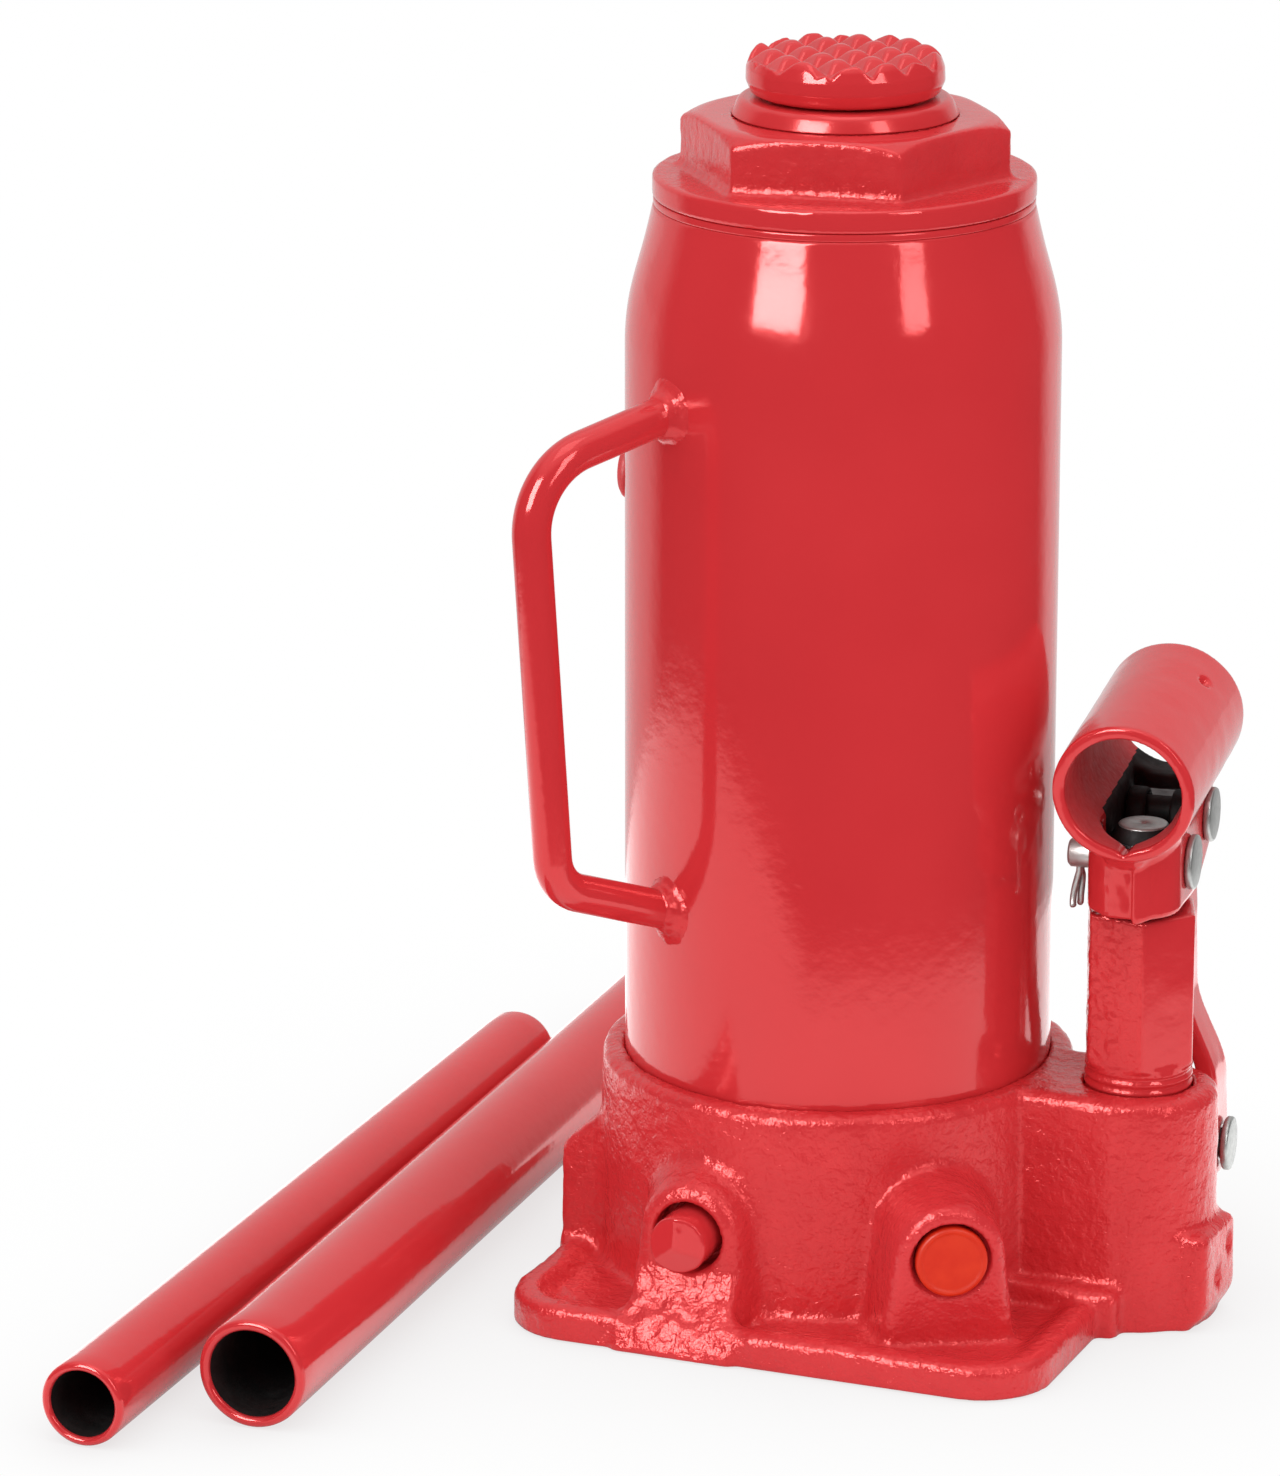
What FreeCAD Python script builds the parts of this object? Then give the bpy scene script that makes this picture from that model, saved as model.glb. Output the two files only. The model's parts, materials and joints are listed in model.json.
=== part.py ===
"""Hydraulic bottle jack, 10 t class, 230 mm high when closed, with its two loose lever tubes.

Frame, in millimetres: the origin is on the lifting axis at the foot's underside, +Z is up, +X runs from the
lifting axis to the pump, and the front of the jack, with the release valve, faces -Y.
"""

import FreeCAD, Part
import math
import os

V = FreeCAD.Vector
X_AXIS = V(1, 0, 0)
Y_AXIS = V(0, 1, 0)
Z_AXIS = V(0, 0, 1)
OVER = 1.0  # how far a cutting tool runs past the face it opens
TINY = 0.001  # tolerance for picking edges by place

# ---- foot casting ----
FOOT_X = (-45.4, 57.6)
FOOT_Y = (-57.2, 57.2)
FOOT_CORNER = 13.5
FOOT_EDGE = 6.5
FOOT_RIM = 6.0
FOOT_DISH = 1.8
COLLAR_R = 44.0
COLLAR_TOP = 43.8
COLLAR_EDGE = 2.0
PUMP_BOSS_R = 14.5
WEB_REAR = 12.3
PAD_X = 75.4
PAD_Y = (-10.4, 8.0)
PAD_TOP = 18.5
PAD_ROUND = 4.0
BLOCK_Y = (-22.5, 22.5)
BLOCK_TOP = 25.0
BLOCK_SHOULDER = 32.0
BLOCK_SLOPE_X = -37.0
ARCH_FOOT = 2.5
ARCH_ROUND = 1.8
APRON_TOP = 13.0
APRON_LIP = 2.0
APRON_FRONT = -58.0
APRON_HALF = 10.8
LUG_HALF = 7.0
LUG_R = 6.0

# ---- reservoir ----
TUBE_R = 39.3
TUBE_WALL = 3.0
TUBE_FOOT = 36.0
NECK = ((177.6, 39.3), (183.3, 38.6), (187.0, 37.9), (190.8, 36.8), (194.6, 35.5), (198.0, 34.8), (201.9, 34.6))
GASKET = 1.0
TOP_GASKET = 1.3
TOP_GASKET_R = 34.2
FILLER_ANGLE = -175.0
FILLER_Z = 149.5
FILLER_R = 4.0
FILLER_HEAD_R = 5.2
FILLER_GAP = 0.1
FILLER_HEAD = 1.3
FILLER_CROWN = 1.2
FILLER_CROWN_R = 3.2
FILLER_STEM = 9.0
STRAINER_AT = (-30.0, -12.0)
STRAINER_R = 4.0
STRAINER_Z = (30.0, 38.0)

# ---- pressure cylinder and ram ----
CYL_SEAT = 10.0
CYL_R = 27.0
CYL_BORE = 22.5
CYL_TOP = 199.0
RAM_FOOT = 13.0
RAM_R = 19.8
RAM_TOP = 221.3
RAM_COLLAR = ((20.4, 218.2), (19.2, 220.8), (18.5, 221.3))
PISTON_R = 22.4
PISTON_CHAMFER = 1.0
PISTON_TOP = 36.0
PISTON_SEAL_Z = (17.5, 24.0)
WEAR_RING_Z = (27.5, 33.0)
PISTON_GROOVE_R = 19.0
SLIP = 0.05  # radial clearance of a running fit

# ---- top nut ----
FLANGE_R = 34.4
FLANGE_Z = (203.2, 207.5)
FLANGE_ROUND = 0.6
HEX_AF = 52.3
HEX_TOP = 218.1
HEX_VERTEX = -50.8
HEX_CHAMFER_R = 27.0
HEX_CHAMFER_RISE = 0.55  # height of the chamfer's cone over its width
SKIRT_R = 30.0
SKIRT_FOOT = 188.0
O_RING_Z = (191.0, 194.4)
WIPER_Z = (214.4, 216.8)
GLAND_GROOVE = 2.8

# ---- extension screw ----
SCREW_R = 13.0
SCREW_FOOT = 106.0
SCREW_CHAMFER = 1.0
THREAD_FOOT = 190.0
RAM_POCKET_R = 14.5
BORE_FOOT = 100.0
STOP_RING_Z = (108.0, 110.0)
STOP_RING_IN = 11.5
STOP_RING_OUT = 14.2
SADDLE = ((16.4, 221.7), (17.7, 224.2), (16.9, 227.6), (15.4, 229.4))
SADDLE_TOP = 230.0
SADDLE_TOP_R = 14.4
TOOTH_PITCH = 6.65
TOOTH_DEPTH = 2.1
TOOTH_ANGLE = 45.0
TOOTH_SHIFT = (-2.6, 0.3)
TOOTH_ROWS = range(-3, 4)
TOOTH_MOUTH = 0.3  # height above the saddle's top at which neighbouring grooves meet

# ---- pump ----
PUMP_X = 58.5
PUMP_YAW = 6.0
PUMP_HEX_AF = 19.0
PUMP_HEX_VERTEX = -70.0
PUMP_HEX_Z = (47.6, 77.0)
PUMP_HEX_CHAMFER = 1.5
PUMP_NECK_R = 9.9
PUMP_NECK_FOOT = 19.0
PUMP_THREADS = 3
PUMP_THREAD_PITCH = 1.6
PUMP_THREAD_GROOVE = 0.55
PUMP_THREAD_DEPTH = 0.7
PUMP_GASKET_IN = 7.0
PLUNGER_R = 6.0
PLUNGER_FOOT = 26.0
PLUNGER_TOP = 92.6
PLUNGER_DISC_R = 4.3
PLUNGER_EDGE = 2.4
SEAL_Z = (68.0, 72.0)
SEAL_R = 8.2
SUCTION_BALL_Z = 11.5
DISCHARGE_X = 38.0
DISCHARGE_BALL_Z = 14.0
BALL_R = 3.0
BALL_ROOM = 0.6
PASSAGE_R = 1.5
PASSAGE_Z = 8.0
RISER_Z = 21.0
PLUG_R = 5.0
PLUG_Z = (0.5, 5.0)

# ---- handle socket, in the pump's own frame: X across, Y to the rear ----
SOCKET_R = 12.9
SOCKET_BORE = 10.65
SOCKET_FRONT = (-18.6, 102.9)
SOCKET_REAR = (25.6, 107.0)
CLEVIS_HALF = 8.5
CLEVIS_INNER = 6.1
CLEVIS_FRONT = -14.7
CLEVIS_FOOT = 78.6
CLEVIS_REAR = 20.0
CLEVIS_ROOF = 101.0
CLEVIS_CLEAR = 0.1
NOTCH_Z = 91.2
NOTCH_HALF = 6.0
NOTCH_REAR = -7.0
PIN_R = 2.7
PIN_SLIP = 0.05
PIN_HEAD_R = 5.0
PIN_HEAD = 1.4
PLUNGER_PIN = (0.0, 86.0)
UPPER_PIN = (14.5, 90.4)
LOWER_PIN = (21.5, 25.4)
UPPER_PIN_HOLE = 3.55
UPPER_HOLE_SHIFT = 0.69
PIN_TAIL = 13.5
LOWER_PIN_TAIL = 14.8
LINK_THICK = 3.8
LINK_IN_TOP = 2.1
LINK_IN_LOW = 7.6
JOGGLE_Z = (39.0, 56.0)
LINK_FRONT = 3.0
LINK_FRONT_Z = 77.0
LINK_TOP_R = 4.7
LINK_TOP_SHIFT = (0.5, -0.4)
LINK_LOW_R = 5.8
LINK_CLEAR = 0.6
COTTER_R = 0.55
COTTER_LEG = 9.0
COTTER_EYE = 1.7
COTTER_GAP = 0.06
COTTER_BEND = 0.7
COTTER_SHOULDER = 1.0
COTTER_INSET = 2.0

# ---- release valve, along Y ----
RELEASE_AT = (-10.0, 20.6)
RELEASE_FACE = -50.0
RELEASE_BORE = 6.5
RELEASE_STUB_R = 5.3
RELEASE_STUB = -56.0
RELEASE_TIP_R = 1.5
RELEASE_TIP = 1.6
RELEASE_NOSE_R = 2.5
RELEASE_THREAD_R = 6.0
RELEASE_THREAD_Y = (-43.0, -36.0)
RELEASE_BALL_Y = -30.5
RELEASE_TRAVEL = 2.25
RELEASE_ARCH_R = 9.6

# ---- overload valve, in its own frame: origin below the middle of its boss's face, +Y inward ----
RELIEF_PLACE = (39.2, -45.8)
RELIEF_TURN = 30.0
RELIEF_AT = (0.0, 21.5)
RELIEF_ARCH_R = 10.6
RELIEF_ARCH_DEPTH = 40.0
RELIEF_PLUG_R = 6.5
RELIEF_PLUG_Y = (-0.9, 1.5)
RELIEF_PLUG_ROUND = 0.8
RELIEF_RECESS_R = 7.2
RELIEF_BORE = 6.2
RELIEF_SCREW_Y = (6.0, 14.0)
RELIEF_SCREW_R = 5.0
RELIEF_SPRING_Y = (14.1, 24.9)
RELIEF_BALL_Y = 28.0
RELIEF_DEEP = 36.0
RELIEF_SPRING_R = 2.4
RELIEF_WIRE = 0.55
RELIEF_COILS = 6

# ---- carry handle, in the upright plane at its own angle about the lifting axis ----
HANDLE_ANGLE = -121.6
HANDLE_R = 3.5
HANDLE_PATH = ((37.9, 167.4), (69.7, 161.0), (64.2, 85.2), (37.9, 75.8))
HANDLE_BENDS = (14.0, 8.5)
WELD_R = 6.2
WELD_H = 4.6
WELD_EDGE = 0.6

# ---- loose lever tubes on the floor ----
LOWER_LEVER_R = 10.0
LOWER_LEVER_BORE = 8.1
LOWER_LEVER_LENGTH = 250.0
LOWER_LEVER_AT = (-65.6, -116.5)
LOWER_LEVER_ANGLE = 92.6
UPPER_LEVER_R = 7.8
UPPER_LEVER_BORE = 6.2
UPPER_LEVER_LENGTH = 207.0
UPPER_LEVER_AT = (-89.3, -135.6)
UPPER_LEVER_ANGLE = 91.5


# ---- general shapes ----
def rod(radius, low, high, at=(0.0, 0.0)):
    """Upright cylinder between two heights."""
    return Part.makeCylinder(radius, high - low, V(at[0], at[1], low))


def ring(inner, outer, low, high, at=(0.0, 0.0)):
    """Upright tube between two heights."""
    return rod(outer, low, high, at).cut(rod(inner, low - OVER, high + OVER, at))


def rod_y(radius, front, rear, at):
    """Cylinder along Y at (x, z)."""
    return Part.makeCylinder(radius, rear - front, V(at[0], front, at[1]), Y_AXIS)


def ring_y(inner, outer, front, rear, at):
    """Tube along Y at (x, z)."""
    return rod_y(outer, front, rear, at).cut(rod_y(inner, front - OVER, rear + OVER, at))


def rod_x(radius, left, right, at):
    """Cylinder along X at (y, z)."""
    return Part.makeCylinder(radius, right - left, V(left, at[0], at[1]), X_AXIS)


def block(x, y, z):
    """Box from three (low, high) pairs."""
    return Part.makeBox(x[1] - x[0], y[1] - y[0], z[1] - z[0], V(x[0], y[0], z[0]))


def prism(points, push):
    """Closed outline of 3-D points, extruded along a vector."""
    wire = Part.makePolygon([V(*p) for p in points] + [V(*points[0])])
    return Part.Face(wire).extrude(push)


def turned(profile):
    """Solid of revolution about Z from (radius, height) points."""
    wire = Part.makePolygon([V(r, 0, z) for r, z in profile] + [V(profile[0][0], 0, profile[0][1])])
    return Part.Face(wire).revolve(V(0, 0, 0), Z_AXIS, 360)


def hexagon(across_flats, vertex_angle, low, high, at=(0.0, 0.0)):
    """Upright hexagonal bar."""
    radius = across_flats / 2 / math.cos(math.pi / 6)
    corners = []
    for k in range(6):
        a = math.radians(vertex_angle + 60 * k)
        corners.append((at[0] + radius * math.cos(a), at[1] + radius * math.sin(a), low))
    return prism(corners, V(0, 0, high - low))


def fused(shapes):
    """One clean solid from touching shapes."""
    whole = shapes[0]
    for shape in shapes[1:]:
        whole = whole.fuse(shape)
    return whole.removeSplitter()


def rounded(shape, radius, wanted):
    """Fillets the edges that a test picks, and keeps the sharp shape where the fillet can't be made."""
    edges = [e for e in shape.Edges if wanted(e)]
    try:
        result = shape.makeFillet(radius, edges)
    except Exception:
        return shape
    return result if result.isValid() and result.Volume > 0 else shape


def in_pump_frame(shape):
    """Moves a shape from the pump's own frame, with its origin on the pump axis, to the jack's frame."""
    placed = shape.copy()
    placed.rotate(V(0, 0, 0), Z_AXIS, PUMP_YAW)
    placed.translate(V(PUMP_X, 0, 0))
    return placed


def in_relief_frame(shape):
    """Moves a shape from the overload valve's own frame to the jack's frame."""
    placed = shape.copy()
    placed.rotate(V(0, 0, 0), Z_AXIS, RELIEF_TURN)
    placed.translate(V(*RELIEF_PLACE, 0))
    return placed


def at_front(edge, y):
    """True for an edge that lies in the plane at Y."""
    return abs(edge.BoundBox.YMin - y) < TINY and edge.BoundBox.YLength < TINY


# ---- foot casting ----
def rounded_plate(x, y, z, corner):
    plate = block(x, y, z)
    return rounded(plate, corner, lambda e: abs(e.tangentAt(e.FirstParameter).z) > 0.9)


def arch(at, radius, front, rear):
    """Tombstone boss along Y, standing on the foot with legs that flare outward."""
    x, z = at
    foot_half = radius + ARCH_FOOT
    legs = [
        (x - foot_half, front, 0),
        (x - radius, front, z),
        (x + radius, front, z),
        (x + foot_half, front, 0),
    ]
    boss = fused([prism(legs, V(0, rear - front, 0)), rod_y(radius, front, rear, at)])
    return rounded(boss, ARCH_ROUND, lambda e: at_front(e, front))


def casting_body():
    """Collar about the reservoir, with a straight web to the pump boss that stops short of the links behind it."""
    body = fused([
        rod(COLLAR_R, 0, COLLAR_TOP),
        rod(PUMP_BOSS_R, 0, COLLAR_TOP, (PUMP_X, 0)),
        block((0, PUMP_X), (-PUMP_BOSS_R, WEB_REAR), (0, COLLAR_TOP)),
    ])
    return rounded(body, COLLAR_EDGE, lambda e: e.BoundBox.ZMin > COLLAR_TOP - TINY)


def release_apron():
    """Apron below the release valve, which runs out over the foot's front edge."""
    side = RELEASE_AT[0] - APRON_HALF
    outline = [
        (side, 0, 0),
        (side, APRON_FRONT, 0),
        (side, APRON_FRONT, APRON_LIP),
        (side, RELEASE_FACE, APRON_TOP),
        (side, 0, APRON_TOP),
    ]
    return prism(outline, V(2 * APRON_HALF, 0, 0))


def link_lug():
    """Lug behind the pump boss that carries the lower link pin."""
    y, z = LOWER_PIN
    stem = block((-LUG_HALF, LUG_HALF), (0, y), (z - LUG_R, z + LUG_R))
    return in_pump_frame(fused([stem, rod_x(LUG_R, -LUG_HALF, LUG_HALF, LOWER_PIN)]))


def side_block():
    """Block on the pump's far side, flush with the foot's edge, that rises to the collar."""
    x = FOOT_X[0]
    outline = [
        (x, BLOCK_Y[0], 0),
        (x, BLOCK_Y[0], BLOCK_TOP),
        (BLOCK_SLOPE_X, BLOCK_Y[0], BLOCK_SHOULDER),
        (0, BLOCK_Y[0], BLOCK_SHOULDER),
        (0, BLOCK_Y[0], 0),
    ]
    return prism(outline, V(0, BLOCK_Y[1] - BLOCK_Y[0], 0))


def end_pad():
    """Pad that stands out of the pump boss towards +X."""
    pad = block((PUMP_X, PAD_X), PAD_Y, (0, PAD_TOP))
    return rounded(pad, PAD_ROUND, lambda e: e.BoundBox.ZMin > PAD_TOP - TINY and e.BoundBox.XMin > PUMP_X + TINY)


def base_casting():
    foot = rounded_plate(FOOT_X, FOOT_Y, (0, FOOT_EDGE), FOOT_CORNER)
    dish = rounded_plate(
        (FOOT_X[0] + FOOT_RIM, FOOT_X[1] - FOOT_RIM),
        (FOOT_Y[0] + FOOT_RIM, FOOT_Y[1] - FOOT_RIM),
        (FOOT_EDGE - FOOT_DISH, FOOT_EDGE + OVER),
        FOOT_CORNER - FOOT_RIM,
    )
    solid = fused([
        foot.cut(dish),
        casting_body(),
        side_block(),
        end_pad(),
        link_lug(),
        release_apron(),
        arch(RELEASE_AT, RELEASE_ARCH_R, RELEASE_FACE, 0),
        in_relief_frame(arch(RELIEF_AT, RELIEF_ARCH_R, 0, RELIEF_ARCH_DEPTH)),
    ])
    seat = TUBE_FOOT - GASKET
    tools = [
        rod(TUBE_R + SLIP, seat, COLLAR_TOP + OVER),
        rod(CYL_R + SLIP, CYL_SEAT, COLLAR_TOP),
        rod(PUMP_NECK_R + SLIP, PUMP_NECK_FOOT - GASKET, COLLAR_TOP + OVER, (PUMP_X, 0)),
        in_pump_frame(rod_x(PIN_R, -LUG_HALF - OVER, LUG_HALF + OVER, LOWER_PIN)),
    ]
    tools += pump_passages() + release_passages() + relief_passages()
    for tool in tools:
        solid = solid.cut(tool)
    return solid.removeSplitter()


def pump_passages():
    """Check-ball rooms under the pump and beside it, with the drillings that join them to the cylinder."""
    room = BALL_R + BALL_ROOM
    discharge = (DISCHARGE_X, 0)
    return [
        rod(room, SUCTION_BALL_Z - BALL_R, PUMP_NECK_FOOT, (PUMP_X, 0)),
        rod(PASSAGE_R, PASSAGE_Z - PASSAGE_R - OVER, SUCTION_BALL_Z, (PUMP_X, 0)),
        rod(room, DISCHARGE_BALL_Z - BALL_R, RISER_Z + PASSAGE_R, discharge),
        rod(PASSAGE_R, 0, DISCHARGE_BALL_Z, discharge),
        rod(PLUG_R, -OVER, PLUG_Z[1], discharge),
        rod_x(PASSAGE_R, CYL_R - OVER, DISCHARGE_X, (0, RISER_Z)),
        rod_x(PASSAGE_R, DISCHARGE_X, PUMP_X, (0, PASSAGE_Z)),
        rod(STRAINER_R + SLIP, STRAINER_Z[0], TUBE_FOOT, STRAINER_AT),
    ]


def release_passages():
    """Stepped bore of the release valve, from the arch's face to the cylinder's seat."""
    thread_front, thread_rear = RELEASE_THREAD_Y
    return [
        rod_y(RELEASE_BORE, RELEASE_FACE - OVER, thread_front - RELEASE_TRAVEL - OVER, RELEASE_AT),
        rod_y(RELEASE_THREAD_R + SLIP, RELEASE_FACE - OVER, thread_rear + OVER, RELEASE_AT),
        rod_y(BALL_R + BALL_ROOM, thread_rear - OVER, RELEASE_BALL_Y + BALL_R, RELEASE_AT),
        rod_y(PASSAGE_R, RELEASE_BALL_Y, -CYL_BORE, RELEASE_AT),
    ]


def relief_passages():
    """Stepped bore of the overload valve, closed outside by its plug."""
    bores = [
        rod_y(RELIEF_RECESS_R, -OVER, RELIEF_PLUG_Y[1], RELIEF_AT),
        rod_y(RELIEF_BORE + SLIP, 0, RELIEF_SCREW_Y[0], RELIEF_AT),
        rod_y(RELIEF_SCREW_R + SLIP, 0, RELIEF_SCREW_Y[1] + OVER, RELIEF_AT),
        rod_y(BALL_R + BALL_ROOM, RELIEF_SCREW_Y[1], RELIEF_BALL_Y + BALL_R, RELIEF_AT),
        rod_y(PASSAGE_R, RELIEF_BALL_Y, RELIEF_DEEP, RELIEF_AT),
    ]
    return [in_relief_frame(bore) for bore in bores]


# ---- reservoir and its closures ----
def reservoir_tube():
    outside = [(TUBE_R, TUBE_FOOT)] + [(r, z) for z, r in NECK]
    inside = [(r - TUBE_WALL, z) for r, z in reversed(outside)]
    tube = turned(outside + inside)
    return tube.cut(filler_hole(FILLER_R))


def filler_hole(radius):
    """Radial cylinder through the reservoir's wall at the filler."""
    a = math.radians(FILLER_ANGLE)
    out = V(math.cos(a), math.sin(a), 0)
    start = out * (TUBE_R - TUBE_WALL - 2 * OVER) + V(0, 0, FILLER_Z)
    return Part.makeCylinder(radius, TUBE_WALL + 4 * OVER, start, out)


def oil_filler_plug():
    """Rubber plug with a domed head and a plain stem."""
    a = math.radians(FILLER_ANGLE)
    out = V(math.cos(a), math.sin(a), 0)
    face = out * (TUBE_R + FILLER_GAP) + V(0, 0, FILLER_Z)
    head = Part.makeCylinder(FILLER_HEAD_R, FILLER_HEAD, face, out)
    crown = Part.makeCone(FILLER_HEAD_R, FILLER_CROWN_R, FILLER_CROWN, face + out * FILLER_HEAD, out)
    stem = Part.makeCylinder(FILLER_R - SLIP, FILLER_STEM, face - out * FILLER_STEM, out)
    return fused([head, crown, stem])


def top_nut():
    """Flanged hexagon nut: gland about the ram, thread about the cylinder, clamp on the reservoir."""
    corner_r = HEX_AF / 2 / math.cos(math.pi / 6)
    reach = corner_r + OVER
    rise = (reach - HEX_CHAMFER_R) * HEX_CHAMFER_RISE
    cone = Part.makeCone(reach, HEX_CHAMFER_R, rise, V(0, 0, HEX_TOP - rise))
    crown = fused([cone, rod(reach, FLANGE_Z[1], HEX_TOP - rise)])
    hexa = hexagon(HEX_AF, HEX_VERTEX, FLANGE_Z[1], HEX_TOP).common(crown)
    flange = rod(FLANGE_R, *FLANGE_Z)
    flange = rounded(flange, FLANGE_ROUND, lambda e: e.BoundBox.ZLength < TINY)
    nut = fused([hexa, flange, rod(SKIRT_R, SKIRT_FOOT, FLANGE_Z[0] + OVER)])
    nut = nut.cut(ring(CYL_BORE - SLIP, CYL_R + SLIP, SKIRT_FOOT - OVER, CYL_TOP))
    nut = nut.cut(rod(RAM_R + SLIP, SKIRT_FOOT - OVER, HEX_TOP + OVER))
    nut = nut.cut(rod(RAM_R + GLAND_GROOVE / 2, O_RING_Z[0], O_RING_Z[1]))
    nut = nut.cut(rod(RAM_R + GLAND_GROOVE, WIPER_Z[0], WIPER_Z[1]))
    return nut.removeSplitter()


# ---- ram and extension screw ----
def ram():
    profile = [
        (0, RAM_FOOT),
        (PISTON_R - PISTON_CHAMFER, RAM_FOOT),
        (PISTON_R, RAM_FOOT + PISTON_CHAMFER),
        (PISTON_R, PISTON_TOP),
        (RAM_R, PISTON_TOP),
        (RAM_R, RAM_COLLAR[0][1]),
    ]
    body = turned(profile + list(RAM_COLLAR) + [(0, RAM_TOP)])
    body = body.cut(rod(SCREW_R + SLIP, THREAD_FOOT, RAM_TOP + OVER))
    body = body.cut(rod(RAM_POCKET_R, BORE_FOOT, THREAD_FOOT))
    for low, high in (PISTON_SEAL_Z, WEAR_RING_Z):
        body = body.cut(ring(PISTON_GROOVE_R, CYL_R, low, high))
    return body.removeSplitter()


def saddle_teeth():
    """V grooves in two directions across the saddle's top, which leave pyramid teeth."""
    reach = 2 * SCREW_R
    half = TOOTH_PITCH / 2
    grooves = []
    for turn, shift in zip((0, 90), TOOTH_SHIFT):
        for row in TOOTH_ROWS:
            x = shift + row * TOOTH_PITCH
            section = [
                (x, -reach, SADDLE_TOP - TOOTH_DEPTH),
                (x + half, -reach, SADDLE_TOP + TOOTH_MOUTH),
                (x - half, -reach, SADDLE_TOP + TOOTH_MOUTH),
            ]
            groove = prism(section, V(0, 2 * reach, 0))
            groove.rotate(V(0, 0, 0), Z_AXIS, TOOTH_ANGLE + turn)
            grooves.append(groove)
    return grooves


def extension_screw():
    low = SADDLE[0][1]
    foot = SCREW_FOOT + SCREW_CHAMFER
    profile = [(0, SCREW_FOOT), (SCREW_R - SCREW_CHAMFER, SCREW_FOOT), (SCREW_R, foot), (SCREW_R, low)]
    profile += list(SADDLE) + [(SADDLE_TOP_R, SADDLE_TOP), (0, SADDLE_TOP)]
    body = turned(profile)
    for groove in saddle_teeth():
        body = body.cut(groove)
    return body.cut(ring(STOP_RING_IN, SCREW_R + OVER, *STOP_RING_Z)).removeSplitter()


# ---- pump ----
def pump_cylinder():
    at = (PUMP_X, 0)
    low, high = PUMP_HEX_Z
    corner_r = PUMP_HEX_AF / 2 / math.cos(math.pi / 6)
    bar = hexagon(PUMP_HEX_AF, PUMP_HEX_VERTEX, low, high, at)
    reach = corner_r + OVER
    lower = Part.makeCone(PUMP_HEX_AF / 2, reach, PUMP_HEX_CHAMFER, V(PUMP_X, 0, low))
    bar = bar.common(fused([lower, rod(reach, low + PUMP_HEX_CHAMFER, high, at)]))
    body = fused([bar, rod(PUMP_NECK_R, PUMP_NECK_FOOT, low + OVER, at)])
    for k in range(PUMP_THREADS):
        z = low - (k + 0.5) * PUMP_THREAD_PITCH
        body = body.cut(ring(PUMP_NECK_R - PUMP_THREAD_DEPTH, PUMP_NECK_R + OVER, z, z + PUMP_THREAD_GROOVE, at))
    body = body.cut(rod(PLUNGER_R + SLIP, PUMP_NECK_FOOT - OVER, high + OVER, at))
    return body.cut(rod(SEAL_R, SEAL_Z[0], SEAL_Z[1], at)).removeSplitter()


def pump_plunger():
    y, z = PLUNGER_PIN
    stem = rod(PLUNGER_R, PLUNGER_FOOT, PLUNGER_TOP - PLUNGER_EDGE)
    crown = Part.makeCone(PLUNGER_R, PLUNGER_DISC_R, PLUNGER_EDGE, V(0, 0, PLUNGER_TOP - PLUNGER_EDGE))
    eye = rod_x(PIN_R + PIN_SLIP, -CLEVIS_HALF, CLEVIS_HALF, PLUNGER_PIN)
    return in_pump_frame(fused([stem, crown]).cut(eye))


def socket_axis():
    """Unit vector along the socket from front to rear, and its front end, in the pump's frame."""
    front = V(0, *SOCKET_FRONT)
    rear = V(0, *SOCKET_REAR)
    return front, rear, (rear - front).normalize()


def socket_bore_tool(radius, past):
    front, rear, along = socket_axis()
    return Part.makeCylinder(radius, (rear - front).Length + 2 * past, front - along * past, along)


def u_prism(half, front, rear, low, high):
    """Upright channel core: two straight sides joined by a half-round front."""
    centre = front + half
    return fused([
        rod(half, low, high, (0, centre)),
        block((-half, half), (centre, rear), (low, high)),
    ])


def handle_socket():
    """Rolled tube whose lower edges come down as a clevis with a half-round front."""
    wall = CLEVIS_HALF - CLEVIS_INNER
    cheeks = u_prism(CLEVIS_HALF, CLEVIS_FRONT, CLEVIS_REAR, CLEVIS_FOOT, SOCKET_REAR[1])
    slope = [
        (-SOCKET_R, CLEVIS_HALF, CLEVIS_FOOT - OVER),
        (-SOCKET_R, CLEVIS_REAR + OVER, CLEVIS_FOOT - OVER),
        (-SOCKET_R, CLEVIS_REAR + OVER, UPPER_PIN[1] - PIN_HEAD_R),
    ]
    body = fused([socket_bore_tool(SOCKET_R, 0), cheeks.cut(prism(slope, V(2 * SOCKET_R, 0, 0)))])
    body = body.cut(socket_bore_tool(SOCKET_BORE, OVER))
    body = body.cut(u_prism(CLEVIS_INNER, CLEVIS_FRONT + wall, CLEVIS_REAR + OVER, CLEVIS_FOOT - OVER, CLEVIS_ROOF))
    notch = [
        (0, SOCKET_FRONT[0] - OVER, NOTCH_Z),
        (NOTCH_HALF, SOCKET_FRONT[0] - OVER, NOTCH_Z + NOTCH_HALF),
        (-NOTCH_HALF, SOCKET_FRONT[0] - OVER, NOTCH_Z + NOTCH_HALF),
    ]
    body = body.cut(prism(notch, V(0, NOTCH_REAR - SOCKET_FRONT[0] + OVER, 0)))
    for pin in (PLUNGER_PIN, UPPER_PIN):
        body = body.cut(rod_x(PIN_R, -CLEVIS_HALF - OVER, CLEVIS_HALF + OVER, pin))
    return in_pump_frame(body.removeSplitter())


def cotter_hole(at, x):
    return rod(2 * (COTTER_R + COTTER_GAP), at[1] - PIN_R - OVER, at[1] + PIN_R + OVER, (x, at[0]))


def clevis_pin(at, seat, tail):
    """Headed pin along the pump frame's X: the head seats at +seat, the tail ends at -tail with a cotter hole."""
    shank = rod_x(PIN_R, -tail, seat, at)
    head = rod_x(PIN_HEAD_R, seat, seat + PIN_HEAD, at)
    pin = fused([shank, head]).cut(cotter_hole(at, COTTER_INSET - tail))
    return in_pump_frame(pin)


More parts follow.
